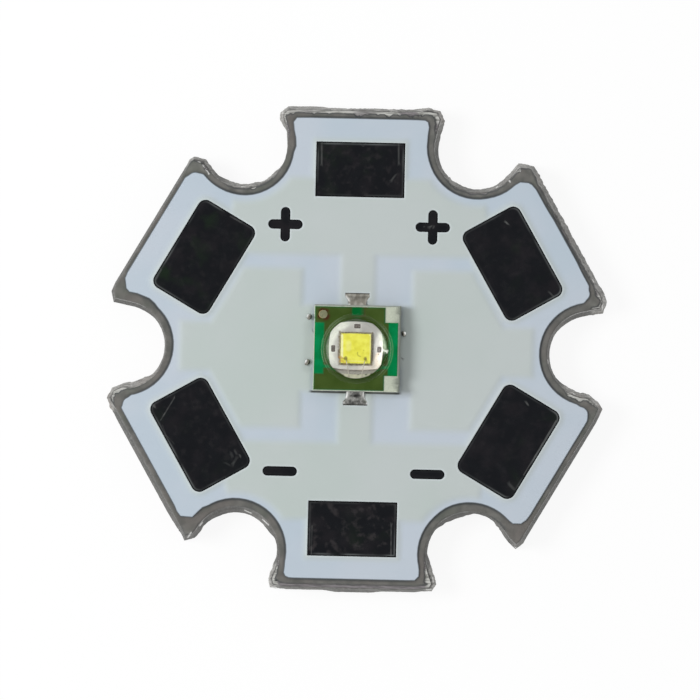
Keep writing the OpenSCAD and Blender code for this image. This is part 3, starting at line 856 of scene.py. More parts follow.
def add_world():
    """Even light, behind a background that looks white and is darker straight above."""
    world = bpy.data.worlds.new("studio")
    bpy.context.scene.world = world
    nodes = Nodes(world)
    light = nodes.tree.nodes["Background"]
    nodes.feed(light.inputs["Strength"], WORLD_LEVEL)
    nodes.feed(light.inputs["Color"], (1, 1, 1))
    split = nodes.node("ShaderNodeSeparateXYZ")
    nodes.feed(split.inputs[0], nodes.node("ShaderNodeTexCoord").outputs["Generated"])
    seen = nodes.node("ShaderNodeBackground")
    nodes.feed(seen.inputs["Strength"], 1)
    shade = nodes.steps(split.outputs["Z"], ZENITH_FROM, ZENITH_TO, 1.0, ZENITH_LEVEL)
    nodes.feed(seen.inputs["Color"], shade)
    nodes.blend(nodes.seen_rays(), light, seen, "World Output")


def add_floor():
    """White floor that keeps a faint shadow."""
    corners = [(-1, -1), (1, -1), (1, 1), (-1, 1)]
    places = [(x * FLOOR_HALF, y * FLOOR_HALF, -FLOOR_GAP) for x, y in corners]
    floor = make_object("floor", places, [(0, 1, 2, 3)])
    paint = Paint("white_floor", roughness=1.0, specular_ior_level=0.0, base_color=(0.98, 0.98, 0.98))
    share = paint.math("MULTIPLY", paint.seen_rays(), FLOOR_GLOW)
    paint.blend(share, paint.shader, paint.node("ShaderNodeEmission"), "Material Output")
    floor.data.materials.append(paint.material)


# Board edge. Each of WALL_LUMPS is a plan place, a radius and how far the punched wall
# stands out or back there. Each of EDGE_LOOKS is a place, a radius, how light the metal is
# and how torn. Each of TIP_PATHS is the outline of one bent or torn tip. Each of LEDGES is
# a place, a radius and how far the laminate is chipped back from the metal. Each of GLINTS
# is a short line that catches the light.
WALL_LUMPS = [
    ((8.6, 5.1), 3.9, 0.07), ((4.9, 6.6), 1.7, 0.05),
    ((-2.4, 10.0), 1.1, 0.04), ((-3.1, 8.3), 1.2, -0.11), ((-5.0, 6.6), 1.2, 0.06),
    ((-8.0, 0.0), 1.9, -0.05), ((-9.0, -1.6), 0.7, 0.07), ((-8.7, -5.0), 3.7, 0.08),
    ((-4.4, -6.7), 2.0, 0.1), ((-3.1, -8.2), 0.7, -0.06),
    ((-2.0, -10.0), 1.4, -0.07), ((2.1, -10.0), 1.4, -0.06),
    ((3.2, -7.8), 0.9, -0.09), ((4.2, -6.7), 0.5, 0.05), ((5.4, -6.7), 0.7, -0.08),
    ((9.0, -1.6), 0.7, 0.05), ((8.0, 0.0), 1.6, -0.05),
]
EDGE_LOOKS = [
    ((-1.8, 10.0), 2.4, 0.8, 0.5), ((1.2, 10.0), 2.4, 0.7, 0.7), ((2.9, 9.8), 0.9, 1.0, 1.0),
    ((-3.3, 9.7), 0.5, 0.9, 0.6), ((3.3, 8.8), 0.6, 0.3, 0.4), ((4.8, 6.6), 2.2, 0.55, 0.7),
    ((6.4, 7.5), 0.8, 0.75, 0.8), ((8.6, 5.1), 3.6, 0.45, 0.8), ((9.7, 2.9), 0.8, 0.7, 0.7),
    ((10.0, 2.1), 0.6, 0.8, 0.7), ((9.2, -1.8), 1.1, 1.0, 0.6), ((8.2, -1.0), 0.5, 0.2, 0.4),
    ((7.0, -7.9), 0.5, 0.2, 0.3), ((6.0, -7.0), 0.6, 0.15, 0.7), ((3.35, -9.4), 0.7, 0.8, 0.9),
    ((1.6, -10.0), 2.2, 0.22, 0.08), ((-1.6, -10.0), 2.2, 0.22, 0.08), ((-3.3, -9.4), 0.7, 0.7, 0.7),
    ((-6.6, -7.7), 0.7, 0.25, 0.5), ((-4.0, -6.9), 0.9, 0.2, 0.2), ((-8.6, -1.5), 1.1, 0.6, 0.1),
    ((-9.6, -1.9), 0.7, 0.8, 0.5), ((-10.1, -2.3), 0.5, 0.6, 0.9), ((-6.6, 7.6), 0.8, 0.6, 0.9),
    ((-4.4, 6.7), 1.5, 0.8, 0.9), ((-3.4, 7.5), 0.9, 0.45, 0.5), ((8.0, 0.2), 1.7, 0.45, 0.2),
    ((-8.0, 0.0), 1.5, 0.3, 0.1),
]
TIP_PATHS = [
    [(9.92, -2.46), (10.02, -2.22), (9.86, -2.0), (9.55, -1.78)],
    [(9.6, 1.83), (10.0, 1.9), (10.1, 2.2), (9.97, 2.5)],
    [(7.22, 7.25), (7.03, 7.6), (6.58, 7.68), (6.25, 7.3)],
    [(3.12, 9.0), (3.27, 9.55), (3.12, 9.83), (2.75, 9.9), (2.3, 9.88)],
    [(-3.0, 9.85), (-3.22, 9.68), (-3.24, 9.5), (-3.06, 8.95)],
    [(-6.2, 7.22), (-6.5, 7.62), (-6.88, 7.7), (-6.98, 7.63)],
    [(-10.05, 2.2), (-9.98, 1.9), (-9.5, 1.8)],
    [(-9.6, -1.74), (-9.97, -1.9), (-10.1, -2.2), (-10.0, -2.45)],
    [(-6.86, -7.83), (-6.62, -7.76)],
    [(-3.1, -8.95), (-3.3, -9.5), (-3.25, -9.75), (-3.0, -9.8)],
    [(2.9, -9.8), (3.24, -9.76), (3.35, -9.58), (3.15, -9.0)],
    [(6.35, -7.45), (6.55, -7.7), (6.74, -7.87), (6.93, -7.72)],
]
TIP_REACH = 0.3
LEDGES = [
    ((-1.9, 9.9), 2.0, 0.15), ((0.5, 9.9), 2.0, 0.16), ((2.7, 9.8), 1.1, 0.18), ((-1.6, -9.9), 2.4, 0.17),
    ((1.6, -9.9), 2.4, 0.17), ((3.4, -9.5), 0.6, 0.2), ((-3.4, -9.5), 0.6, 0.16), ((8.6, 5.1), 3.3, 0.05),
    ((10.0, 2.2), 0.6, 0.1), ((9.3, -1.8), 0.9, 0.12), ((-8.7, -1.5), 1.2, 0.06), ((-9.8, -2.0), 0.6, 0.14),
    ((-6.5, 7.5), 0.6, 0.07), ((6.4, 7.5), 0.6, 0.06), ((4.6, 6.7), 1.5, 0.04), ((-4.3, 6.7), 1.3, 0.05),
]
GLINTS = [
    ((-6.72, 7.63), (-6.62, 7.57)), ((-6.5, 7.46), (-6.22, 7.08)), ((6.5, 7.6), (6.62, 7.38)),
    ((6.1, 7.1), (6.18, 7.04)), ((9.66, 3.1), (9.7, 3.0)), ((9.8, 2.65), (9.85, 2.5)),
    ((10.04, 2.27), (10.1, 1.9)), ((7.88, -0.24), (7.9, -0.38)), ((8.85, -1.58), (9.03, -1.64)),
    ((9.36, -1.82), (9.46, -1.86)), ((9.7, -1.98), (9.76, -2.04)), ((6.7, -8.0), (6.77, -8.02)),
    ((-4.45, -6.73), (-4.2, -6.83)), ((-3.72, -7.08), (-3.46, -7.3)), ((-6.78, -7.88), (-6.62, -7.7)),
    ((-6.3, -7.4), (-6.2, -7.26)), ((-3.28, -9.86), (-3.1, -9.88)), ((3.1, -9.82), (3.3, -9.8)),
    ((3.34, -9.3), (3.38, -9.5)), ((2.75, 9.92), (2.86, 9.9)), ((-3.3, 9.76), (-3.24, 9.7)),
    ((-4.9, 6.62), (-4.75, 6.6)), ((-4.2, 6.72), (-4.1, 6.78)), ((5.6, 6.8), (5.66, 6.86)),
]
GLINT_HALF_W = 0.03
GLINT_SHINE = 0.8
# Places where painted shade runs as a dark line beside the mask: the notch floors and some flats
NOTCH_FLOOR_R = 7.9
SLATE_SHADE = [((0, 9.6), 3.2, 0.9), ((0, -9.4), 3.2, 0.7), ((8.3, 4.8), 3.2, 0.6)]
SLATE_SHADE += [
    ((NOTCH_FLOOR_R * cos(radians(turn)), NOTCH_FLOOR_R * sin(radians(turn))), 2.8, 1.0)
    for turn in range(0, 360, 60)
]
# The share of a mark's radius and of a stroke's half width that has its full strength
MARK_CORE = 0.55
STROKE_CORE = 0.3
STROKE_ROWS = (-1, -0.35, 0.35, 1)


def mark_values(points, marks, item=2):
    """What each mark says at each point, where it fades towards its radius."""
    for mark in marks:
        far = np.linalg.norm(points - mark[0], axis=1)
        yield fade(far, MARK_CORE * mark[1], mark[1]) * mark[item]


def mark_sum(points, marks):
    return sum(mark_values(points, marks))


def mark_peak(points, marks, item=2):
    return np.max(list(mark_values(points, marks, item)), axis=0)


def stroke_marks(points, strokes):
    """The strongest of some strokes, each with a path, a half width and a strength."""
    worn = np.zeros(len(points))
    for path, half, strength in strokes:
        worn = np.maximum(worn, strength * fade(path_gap(points, path), STROKE_CORE * half, half))
    return worn


def stroke_points(strokes):
    """Mesh points along strokes and on both sides of them."""
    rows = [np.empty((0, 2))]
    for path, half, _ in strokes:
        for start, end in zip(np.array(path[:-1]), np.array(path[1:])):
            run = end - start
            length = np.linalg.norm(run)
            along = start + np.linspace(0, 1, max(2, ceil(length / half)))[:, None] * run
            side = np.array([-run[1], run[0]]) / length * half
            rows += [along + share * side for share in STROKE_ROWS]
    return np.vstack(rows)


def glint_at(points):
    far = np.min([path_gap(points, line) for line in GLINTS], axis=0)
    return GLINT_SHINE * fade(far, 0.4 * GLINT_HALF_W, GLINT_HALF_W)


COLUMN_STEP = 0.033
FINE_WALL_H = 0.2
CRACK_DEPTH = 0.04
CRACK_H = 0.04
FRONT_EDGE_R = 0.04
BACK_EDGE_R = 0.05


def wall_rows():
    """Heights of the rings of the wall, closer together at its edges."""
    fine_end = CORE_TOP - FINE_WALL_H
    lower = BACK_EDGE_R * (1 - np.sin(np.radians([0, 30, 60, 90])))
    return np.concatenate([
        np.linspace(CORE_TOP, fine_end, 6),
        np.linspace(fine_end, 2 * BACK_EDGE_R, 15)[1:],
        lower,
    ])


def board_metal(front):
    """The aluminium core with its punched wall: land, torn slope and rounded back edge."""
    ring = resample(front, COLUMN_STEP)
    normal = mitred(ring, 3)
    uneven = 0.9 + 0.4 * rough_noise(ring, 0.9, 11, 2)
    torn = np.clip(mark_peak(ring, EDGE_LOOKS, 3) * uneven, 0, 1.2)
    light = unit(mark_peak(ring, EDGE_LOOKS) * uneven)
    lumps = mark_sum(ring, WALL_LUMPS)
    rows = wall_rows()
    bends = [0, LOWER_LAND_H, CORE_TOP - UPPER_LAND_H, CORE_TOP]
    vertices = []
    marks = {"crack": [], "light": [], "land": [], "glint": []}
    above = np.zeros(len(ring))
    for height in rows:
        depth = CORE_TOP - height
        here = flat_points(ring, height)
        streak = rough_noise(here * (1, 1, 0.25), 0.1, 21, 3) * (0.003 + 0.024 * torn)
        break_up = rough_noise(here, 0.3, 31, 3) * 0.022 * torn * smooth_step(depth, 0.1, 0.5)
        lip = smooth_step(depth, 0.03, 0.12) * fade(depth, 0.12, 0.3)
        bulge = lip * torn * (0.02 + 0.04 * rough_noise(here * (1, 1, 0.3), 0.35, 41, 2))
        back = BACK_EDGE_R - min(height, BACK_EDGE_R)
        out = np.interp(height, bends, [WALL_FLARE, WALL_FLARE, 0, 0])
        out = out + lumps * smooth_step(depth, 0, UPPER_LAND_H + 0.2)
        out = out + streak * smooth_step(depth, 0, 0.1) + break_up + bulge
        out = out - BACK_EDGE_R + sqrt(max(BACK_EDGE_R**2 - back**2, 0))
        out = out - FRONT_EDGE_R * fade(depth, 0, 0.06)
        out = out - CRACK_DEPTH * torn * bell(depth - CRACK_H, 0.04)
        placed = ring + out[:, None] * normal
        vertices.append(flat_points(placed, height))
        grown = np.maximum(out - above, 0)
        above = out
        land = smooth_step(height, 0.75, 0.95) * smooth_step(depth, 0.12, 0.25)
        # painted shade in the crack just under the top of the wall
        marks["crack"].append(unit(bell(depth - 0.03, 0.05) * torn))
        marks["light"].append(light)
        marks["land"].append(land * fade(grown, 0.001, 0.006))
        marks["glint"].append(glint_at(placed) * smooth_step(depth, 0.1, 0.3))
    columns = len(ring)
    last = (len(rows) - 1) * columns
    top = vertices[0][:, :2]
    foot = vertices[-1][:, :2]
    wall = [[a, a + columns, b + columns, b] for a, b in ring_edges(*[ring] * (len(rows) - 1))]
    front_faces = triangulate(top, [top])
    back_faces = [[last + i for i in reversed(face)] for face in triangulate(foot, [foot])]
    slots = [0] * len(wall) + [2] * len(front_faces) + [1] * len(back_faces)
    faces = wall + front_faces + back_faces
    marks = {key: np.concatenate(values) for key, values in marks.items()}
    made = make_object("board_metal", np.vstack(vertices), faces, WALL_SHARP, slots, marks)
    place(made, "aluminium", [punched_paint(), brushed_paint(), ledge_paint()], "aluminium_base")


FORWARD_STEP = 0.005
CHIPPED_KEPT = 0.85
BESIDE_MASK = (-0.02, 0.03, 0.06, 0.1)
LAMINATE_ROWS = (0.015, 0.04, 0.08, 0.13, 0.19)
LAMINATE_DROP = 0.045


def forward_only(points, normals):
    """The points without those that lie behind the one before them along the outline."""
    kept = [0]
    for index in range(1, len(points)):
        step = points[index] - points[kept[-1]]
        normal = normals[index]
        if normal[0] * step[1] - normal[1] * step[0] > FORWARD_STEP:
            kept.append(index)
    return points[kept]


def laminate(front, mask_edge):
    """The insulating layer, chipped along its punched edge."""
    ring = resample(front, 0.05)
    torn = mark_peak(ring, EDGE_LOOKS, 3)
    chip = unit(rough_noise(ring, 0.22, 51, 3))
    ragged = 0.85 + 0.5 * chip * unit(2 * torn)
    drawn_back = 0.005 + 0.05 * torn * chip + mark_peak(ring, LEDGES) * ragged
    chipped = ring - drawn_back[:, None] * mitred(ring, 3)
    clear = path_distance(chipped, ring) > CHIPPED_KEPT * drawn_back
    chipped = forward_only(chipped[clear], outward(ring, 3)[clear])
    line = resample(mask_edge, 0.06)
    beside = np.vstack([line + gap * outward(line, 2) for gap in BESIDE_MASK])

    def shape(points, edge):
        split = unit(mark_peak(points, EDGE_LOOKS, 3) + 3 * mark_peak(points, LEDGES))
        gap = -depth_inside(points, [line])
        wave = 0.004 * lattice_noise(points, 0.5, 61) * smooth_step(gap, 0.03, 0.12)
        top = LAMINATE_TOP - LAMINATE_DROP * fade(edge, 0, 0.05) ** 2 + wave - 0.003 * (gap > 0.02)
        uneven = lattice_noise(points, 0.25, 62)
        # painted shade in a dark line beside the mask, and in the crack at the chipped edge
        dark = bell(gap - 0.03, 0.04) * (0.12 + 0.7 * mark_peak(points, SLATE_SHADE))
        brink_shade = bell(edge - 0.015, 0.03) * unit(split + 0.2 * uneven) * 0.85
        pale = split * unit(uneven) * 0.3 * smooth_step(gap, 0.05, 0.15)
        return top, CORE_TOP, {"dark": dark + brink_shade, "pale": pale, "glint": glint_at(points)}

    made = relief("laminate", [chipped], shape, 0.5, LAMINATE_ROWS, 0.06, beside)
    place(made, "dielectric", [laminate_paint()], "dielectric_layer")


# The white mask. Each mark on it is its path, its half width and its strength: two small
# stains, a painted shadow line at the package's south foot and a broad faint painted
# shadow west of the package. Each of MASK_SHIFTS is a plan place, a radius and how far
# the mask's edge stands out there, and each of MASK_CORNERS the path of the edge at one
# corner.
MASK_STAINS_AND_SHADE = [
    ([(1.88, -0.33), (1.9, -0.34)], 0.04, 0.6),
    ([(-1.8, 0.7), (-1.81, 0.74)], 0.04, 0.5),
    ([(-1.8, -1.78), (-0.5, -1.785), (0.6, -1.78), (1.77, -1.785)], 0.065, 1.0),
    ([(-2.0, 0.9), (-1.95, 0.4), (-2.0, -0.8)], 0.3, 0.12),
]
MASK_SHIFTS = [
    ((-0.3, 9.6), 4.0, 0.045), ((-8.2, 5.0), 4.2, 0.055), ((3.9, 6.6), 2.4, 0.045),
    ((5.2, -6.4), 2.0, -0.04),
    ((8.4, 4.6), 1.6, 0.03), ((9.58, 2.4), 0.45, -0.1), ((-9.55, -2.27), 0.4, -0.08),
    ((9.5, -2.3), 0.5, -0.07), ((-6.85, 7.1), 0.4, -0.08),
]
MASK_CORNERS = [
    [(7.08, 6.94), (6.93, 7.02), (6.58, 7.04), (6.38, 6.92)],
    [(2.77, 8.9), (2.81, 9.2), (2.76, 9.42), (2.63, 9.5), (2.35, 9.51)],
    [(-2.42, 9.51), (-2.67, 9.5), (-2.81, 9.31), (-2.77, 8.96), (-2.7, 8.66), (-2.68, 8.31)],
    [(-9.6, 2.72), (-9.54, 2.29), (-9.4, 2.14), (-9.06, 2.08), (-8.57, 1.89), (-8.35, 1.7)],
    [(-7.24, -6.84), (-7.08, -7.04), (-6.58, -7.07), (-6.36, -6.84), (-6.17, -6.66)],
    [(-2.77, -9.0), (-2.8, -9.24), (-2.73, -9.39), (-2.58, -9.46), (-2.35, -9.47)],
    [(2.35, -9.47), (2.62, -9.46), (2.79, -9.29), (2.8, -9.05)],
    [(6.45, -6.94), (6.59, -7.04), (6.93, -7.04), (7.15, -6.88)],
]
MASK_CORNER_REACH = 0.24
SOFT_STEP = 0.1
MASK_ROWS = (0.02, 0.05, 0.1)
THIN_MARK = 0.1
LACQUER_ROUND = 0.012
LACQUER_ROUND_W = 0.03
COPPER = ("positive_copper", "negative_copper", "thermal_copper")


def mask_outline():
    edge = resample(plan_loops("solder_mask")[0], 0.05)
    edge = edge + mark_sum(edge, MASK_SHIFTS)[:, None] * outward(edge, 2)
    return resample(cornered(edge, MASK_CORNERS, MASK_CORNER_REACH), 0.05)


def rounded_edge(edge):
    """How far lacquer falls off towards its edge."""
    return LACQUER_ROUND * fade(edge, 0, LACQUER_ROUND_W) ** 2


def white_mask(outline):
    loops = [outline] + plan_loops("solder_mask")[1:]
    copper = plan_loops(*COPPER)
    bare_top = LAMINATE_TOP + MASK_BARE_T

    def shape(points, edge):
        over = depth_inside(points, copper)
        share = smooth_step(over, -SOFT_STEP, 0.5 * SOFT_STEP)
        wave = 0.003 * rough_noise(points, 1.3, 71, 2) * smooth_step(edge, 0, 0.2)
        uneven = 0.75 + 0.25 * lattice_noise(points, 0.6, 72)
        top = bare_top + (MASK_TOP - bare_top) * share + wave - rounded_edge(edge)
        attributes = {
            "copper": smooth_step(over, -0.25, 0.15),
            # painted highlight round the openings
            "halo": fade(loops_distance(points, loops[1:]), 0.02, 0.1) * uneven * 0.6,
            # small stains, and painted shadow at the package's south foot and west of it
            "grime": stroke_marks(points, MASK_STAINS_AND_SHADE),
            # painted shade along the mask's outer edge
            "rim": fade(path_distance(points, loops[0]), 0.01, 0.05),
        }
        return top, np.where(over > 0, COPPER_TOP, LAMINATE_TOP), attributes

    # mesh points along the thin marks: the small stains and the painted shadow line at the package's foot
    thin_marks = stroke_points([stroke for stroke in MASK_STAINS_AND_SHADE if stroke[1] < THIN_MARK])
    thin_marks = thin_marks[within(thin_marks, loops)]
    made = relief("white_mask", loops, shape, 0.13, MASK_ROWS, 0.1, thin_marks)
    place(made, "white_mask", [mask_paint()], "solder_mask")


# Marks on the tin of the wire pads, in board places: a path, its half width and strength
SCRATCHES = {
    "wire_pad_negative_left": [
        ([(-7.44, -2.17), (-7.97, -3.08)], 0.035, 0.45),
        ([(-8.28, -2.5), (-8.24, -2.55)], 0.06, 0.9),
        ([(-7.9, -3.3), (-7.75, -3.7), (-7.45, -4.0)], 0.03, 0.2),
        ([(-5.06, -4.38), (-5.0, -4.5)], 0.08, 0.24),
        ([(-4.9, -4.28), (-4.82, -4.42)], 0.06, 0.28),
        ([(-4.84, -4.62), (-4.95, -4.8)], 0.07, 0.22),
        ([(-4.7, -4.45), (-4.66, -4.52)], 0.05, 0.34),
        ([(-5.25, -4.8), (-5.1, -4.88)], 0.05, 0.2),
    ],
    "wire_pad_negative_right": [
        ([(7.05, -2.05), (7.1, -2.12)], 0.05, 0.5),
        ([(8.27, -2.75), (7.0, -5.0)], 0.03, 0.55),
        ([(6.4, -5.4), (6.6, -5.6)], 0.08, 0.25),
    ],
    "wire_pad_positive_right": [
        ([(6.05, 5.35), (6.1, 5.3)], 0.05, 0.8),
        ([(7.9, 2.5), (8.1, 2.3)], 0.05, 0.3),
        ([(6.3, 1.3), (6.7, 1.5)], 0.04, 0.3),
    ],
    "plus_mark_right": [
        ([(2.92, 5.1), (2.97, 5.13)], 0.05, 0.55),
        ([(3.05, 5.06), (3.08, 5.12)], 0.045, 0.4),
        ([(2.66, 5.1), (2.7, 5.11)], 0.04, 0.35),
    ],
    "wire_pad_positive_left": [
        ([(-8.3, 2.7), (-8.1, 3.1)], 0.05, 0.3),
        ([(-5.3, 5.35), (-4.85, 5.1)], 0.04, 0.3),
    ],
    "wire_pad_positive_top": [
        ([(-1.62, 8.6), (-1.6, 7.6)], 0.05, 0.4),
        ([(1.55, 8.5), (1.57, 7.7)], 0.05, 0.35),
        ([(-0.1, 8.5), (0.1, 8.35), (0.2, 8.5)], 0.03, 0.3),
        ([(1.3, 7.0), (1.45, 7.2)], 0.05, 0.3),
    ],
    "wire_pad_negative_bottom": [
        ([(1.6, -7.2), (1.62, -8.6)], 0.04, 0.4),
        ([(-1.7, -8.75), (0.4, -8.78)], 0.03, 0.3),
        ([(-1.65, -7.3), (-1.66, -8.5)], 0.03, 0.3),
    ],
}
# How mottled and how green each pad is
PAD_LOOKS = {
    "wire_pad_positive_top": (0.45, 0.6),
    "wire_pad_positive_left": (0.2, 0.9),
    "wire_pad_positive_right": (0.15, 0.4),
    "wire_pad_negative_bottom": (0.9, 0.4),
    "wire_pad_negative_left": (0.25, 0.2),
    "wire_pad_negative_right": (0.15, 0.3),
}
SIGNS = ("plus_mark_left", "plus_mark_right", "minus_mark_left", "minus_mark_right")
SIGN_LOOK = (0.1, 0.1, 0.1, 0.06)
PAD_WAVE = 0.0036
PAD_STAND = 0.025
PAD_LINE_IN = 0.08
PAD_REACH = 8
PAD_EDGE_DROP = 0.010
PAD_ROWS = (0.02, 0.05, 0.08, 0.11, 0.15)


def tin_piece(node, paint, mottle, bloom, shine=1.0, spacing=0.1):
    """Tin that stands in its opening with a dark rim, a painted highlight line and fine waves."""
    loops = plan_loops(node)[:1]
    scratches = SCRATCHES.get(node, [])
    seed = sorted(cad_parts).index(node) * 7

    def shape(points, edge):
        wave = PAD_WAVE * rough_noise(points, 0.8, 81 + seed, 3) * smooth_step(edge, 0, 0.1)
        top = min(TIN_TOP, COPPER_TOP + PAD_STAND) - PAD_EDGE_DROP * fade(edge, 0, 0.05) + wave
        centre = points.mean(axis=0)
        outer = smooth_step((points - centre) @ centre / PAD_REACH, -0.4, 0.9)
        patchy = unit(0.6 + 0.9 * lattice_noise(points, 0.6, 82 + seed))
        attributes = {
            # painted highlight line inside the pad's edge, stronger on its outer side
            "line": bell(edge - PAD_LINE_IN, 0.025) * patchy * (0.3 + 0.7 * outer) * shine,
            "rim": fade(edge, 0.02, 0.06),
            "scratch": stroke_marks(points, scratches) * (0.8 + 0.4 * lattice_noise(points, 0.15, 83)),
            "mottle": mottle,
            "bloom": bloom * (0.4 + 0.6 * outer),
        }
        return top, COPPER_TOP, attributes

    marked = stroke_points(scratches)
    marked = marked[within(marked, loops)]
    made = relief(node + "_tin", loops, shape, spacing, PAD_ROWS, 0.06, marked, seed)
    place(made, "tin", [paint], node)


TAB_FALL = 2.2
TAB_CROWN = 0.05
TAB_LEAST = 0.012
TAB_ROWS = (0.015, 0.035, 0.06)
BY_TILE = (-0.004, 0.004)


def tab_outline(side):
    """Solder outline of one electrode: a bar under the package and a waisted tab."""
    half, end = high("anode_solder")[:2]
    inner = low("anode_solder")[1]
    outer = high("led_anode_pad")[1]
    hollow_x = WAIST_HALF_W + WAIST_R
    reach = sqrt(WAIST_R**2 - (hollow_x - TAB_HALF_W) ** 2)
    swing = np.degrees(np.arctan2(reach, hollow_x - TAB_HALF_W))
    waist = arc((hollow_x, TILE_HALF + WAIST_OUT), WAIST_R, 180 + swing, 180 - swing)
    waist = waist[waist[:, 1] > outer]
    right = np.vstack([
        [(half, inner), (half, outer), (waist[0, 0], outer)],
        waist,
        [(TAB_HALF_W, end)],
    ])
    points = np.roll(np.vstack([right, right[::-1] * (-1, 1)]), 1, axis=0)
    return points if side > 0 else points[::-1] * (1, -1)


def solder_tab(name, node, side, paint, lumps, shade):
    """Solder joint of one electrode: it climbs the package and falls in a hollow."""
    at_tile = np.array([
        (x, side * (TILE_HALF + gap)) for gap in BY_TILE for x in np.arange(-0.45, 0.46, 0.03)
    ])
    run = high("anode_solder")[1] - TILE_HALF
    foot = COPPER_TOP + TAB_END_T
    climb = TILE_LOW + SOLDER_CLIMB - foot

    def shape(points, edge):
        out = side * points[:, 1] - TILE_HALF
        share = unit(out / run)
        space = flat_points(points, side)
        bumps = lumps * rough_noise(space, 0.22, 91, 3) * smooth_step(out, 0, 0.05)
        crown = TAB_CROWN * fade(edge, 0, 0.12) * (out > 0)
        outside = foot + climb * (1 - share) ** TAB_FALL + bumps - crown
        outside = np.maximum(outside, COPPER_TOP + TAB_LEAST)
        patch = rough_noise(space, 0.16, 92, 2)
        dark = unit(shade * (patch - 0.1) * 2.5) * (out > 0)
        far_edge = smooth_step(share, 0.86, 0.97)
        flank = fade(edge, 0.02, 0.09) * (np.abs(points[:, 0]) > 0.3) * (1 - far_edge)
        shine = np.where(points[:, 0] < 0, 1.0, 0.75 * (side < 0))
        attributes = {
            "shade": np.maximum(dark, 0.8 * far_edge),
            "glint": unit(flank * (0.6 + patch)) * shine,
        }
        return np.where(out > 0, outside, SOLDER_TOP), COPPER_TOP, attributes

    made = relief(name, [tab_outline(side)], shape, 0.045, TAB_ROWS, 0.04, at_tile)
    place(made, "solder", [paint], node)


BEAD_SPREAD = {
    "solder_bead_upper_left": (1.15, 1.45, 1.0),
    "solder_bead_lower_left": (1.12, 1.4, 1.0),
    "solder_bead_right": (1.0, 1.1, 1.0),
}
BEAD_LUMPS = 0.26
BEAD_CUTS = 4


def solder_bead(node, paint):
    """Stray bead: an uneven ball with a flat underside."""
    centre = middle(node)
    radius = half_width(node)
    build = bmesh.new()
    bmesh.ops.create_icosphere(build, subdivisions=BEAD_CUTS, radius=1)
    points = np.array([v.co for v in build.verts])
    faces = [[v.index for v in face.verts] for face in build.faces]
    build.free()
    lump = 1 + BEAD_LUMPS * rough_noise(points * radius + centre, 0.13, 101, 3)
    ball = points * lump[:, None] * radius * BEAD_SPREAD[node] + centre
    ball[:, 2] = np.maximum(ball[:, 2], low(node)[2])
    x, y, z = points.T
    x = x * np.sign(centre[0])
    looks = {
        "shade": smooth_step(-x - 0.4 * y, 0.1, 0.8),
        "glint": smooth_step(x + 0.6 * y + 0.6 * z, 0.75, 1.25),
    }
    place(make_object(node + "_lump", ball, faces, BEAD_SHARP, None, looks), "solder", [paint], node)


# LED package. Each of SPOTS is the half width, half height, corner radius and shift of a
# dark spot, and the middles of its paler squares. The dome enlarges what lies under it:
# marks there are in seen places, which are real plan places times LENS_GAIN at their
# radius, and moved by LENS_SHIFT. Gleams and arcs are painted reflections of the dome,
# given as directions and widths in degrees.
LENS_R = (0, 0.45, 0.7, 0.875, 0.98, 1.065, 1.33)
LENS_GAIN = (1.372, 1.35, 1.305, 1.266, 1.221, 1.174, 1.0)
LENS_SHIFT = (-0.055, 0.03)
LEFT_GLEAM = (165, 30, 62)
RIGHT_GLEAM = (22, 18, 34)
RIGHT_ARC = (0, 25, 60)
DOT_SHIFT = (0.03, 0)
DOT_CROWN = 0.004
TILE_LEAN = (0.075, 0.06)
GAP_MIDDLE = -0.74
ARC_R = (1.375, 1.46)
LAND_ENDS = [((-0.89, -0.81), (-0.61, -0.79)), ((0.98, -0.71), (0.73, -0.69))]
SPOTS = {
    "top": (0.098, 0.075, 0.025, (0.03, 0.0), [(-0.05, 0.0), (0.05, 0.0)]),
    "left": (0.068, 0.102, 0.03, (-0.01, -0.01), [(0.0, 0.05), (0.0, -0.05)]),
    "right": (0.078, 0.09, 0.04, (0.04, -0.015), [(0.0, 0.0)]),
}
# Marks on the chip and beside it, in seen places: paths, half widths and strengths. The spike and the
# chip's pale bands are painted highlights.
SPIKE_HIGHLIGHT = [(1.04, 0.02), (1.16, -0.04), (1.24, -0.02), (1.22, -0.09)]
ORANGE_STAINS = [
    ([(-0.72, -0.33), (-0.62, -0.4)], 0.07, 0.9),
    ([(-0.7, -0.5), (-0.58, -0.52)], 0.06, 0.75),
    ([(-0.56, -0.6), (-0.45, -0.6)], 0.05, 0.6),
]
CHIP_SCRATCHES = [
    ([(0.02, -0.13), (0.02, -0.2), (0.05, -0.27), (0.15, -0.31)], 0.036, 0.5),
    ([(0.03, -0.24), (0.07, -0.29)], 0.03, 0.35),
    ([(0.28, -0.03), (0.29, -0.05)], 0.02, 0.7),
    ([(0.25, -0.12), (0.26, -0.13)], 0.018, 0.6),
    ([(-0.1, 0.1), (-0.08, 0.0)], 0.015, 0.25),
]
# painted highlights on the chip
CHIP_HIGHLIGHTS = [
    ([(-0.65, 0.58), (-0.64, -0.35)], 0.065, 1.0),
    ([(0.555, 0.6), (0.56, -0.45)], 0.03, 0.5),
    ([(-0.4, -0.505), (0.3, -0.515)], 0.02, 0.4),
    ([(0.52, 0.63), (0.56, 0.62)], 0.035, 0.9),
    ([(-0.37, 0.25), (-0.36, 0.0)], 0.16, 0.25),
]
TILE_ROWS = (0.012, 0.035, 0.065)
TILE_EDGE_R = 0.012
TILE_DROP = 0.3
FILM_STEP = 0.008
LACQUER_ROWS = (0.012, 0.025, 0.04)
CHIP_ROWS = (0.006, 0.016, 0.028, 0.04)
CHIP_FOOT_H = 0.02
CHIP_TOP_HALF = 0.473
CHIP_CORNER_R = 0.03
BOND_AT = 0.32


def radii(places):
    return np.hypot(places[:, 0], places[:, 1])


def seen(points):
    return points * np.interp(radii(points), LENS_R, LENS_GAIN)[:, None] + LENS_SHIFT


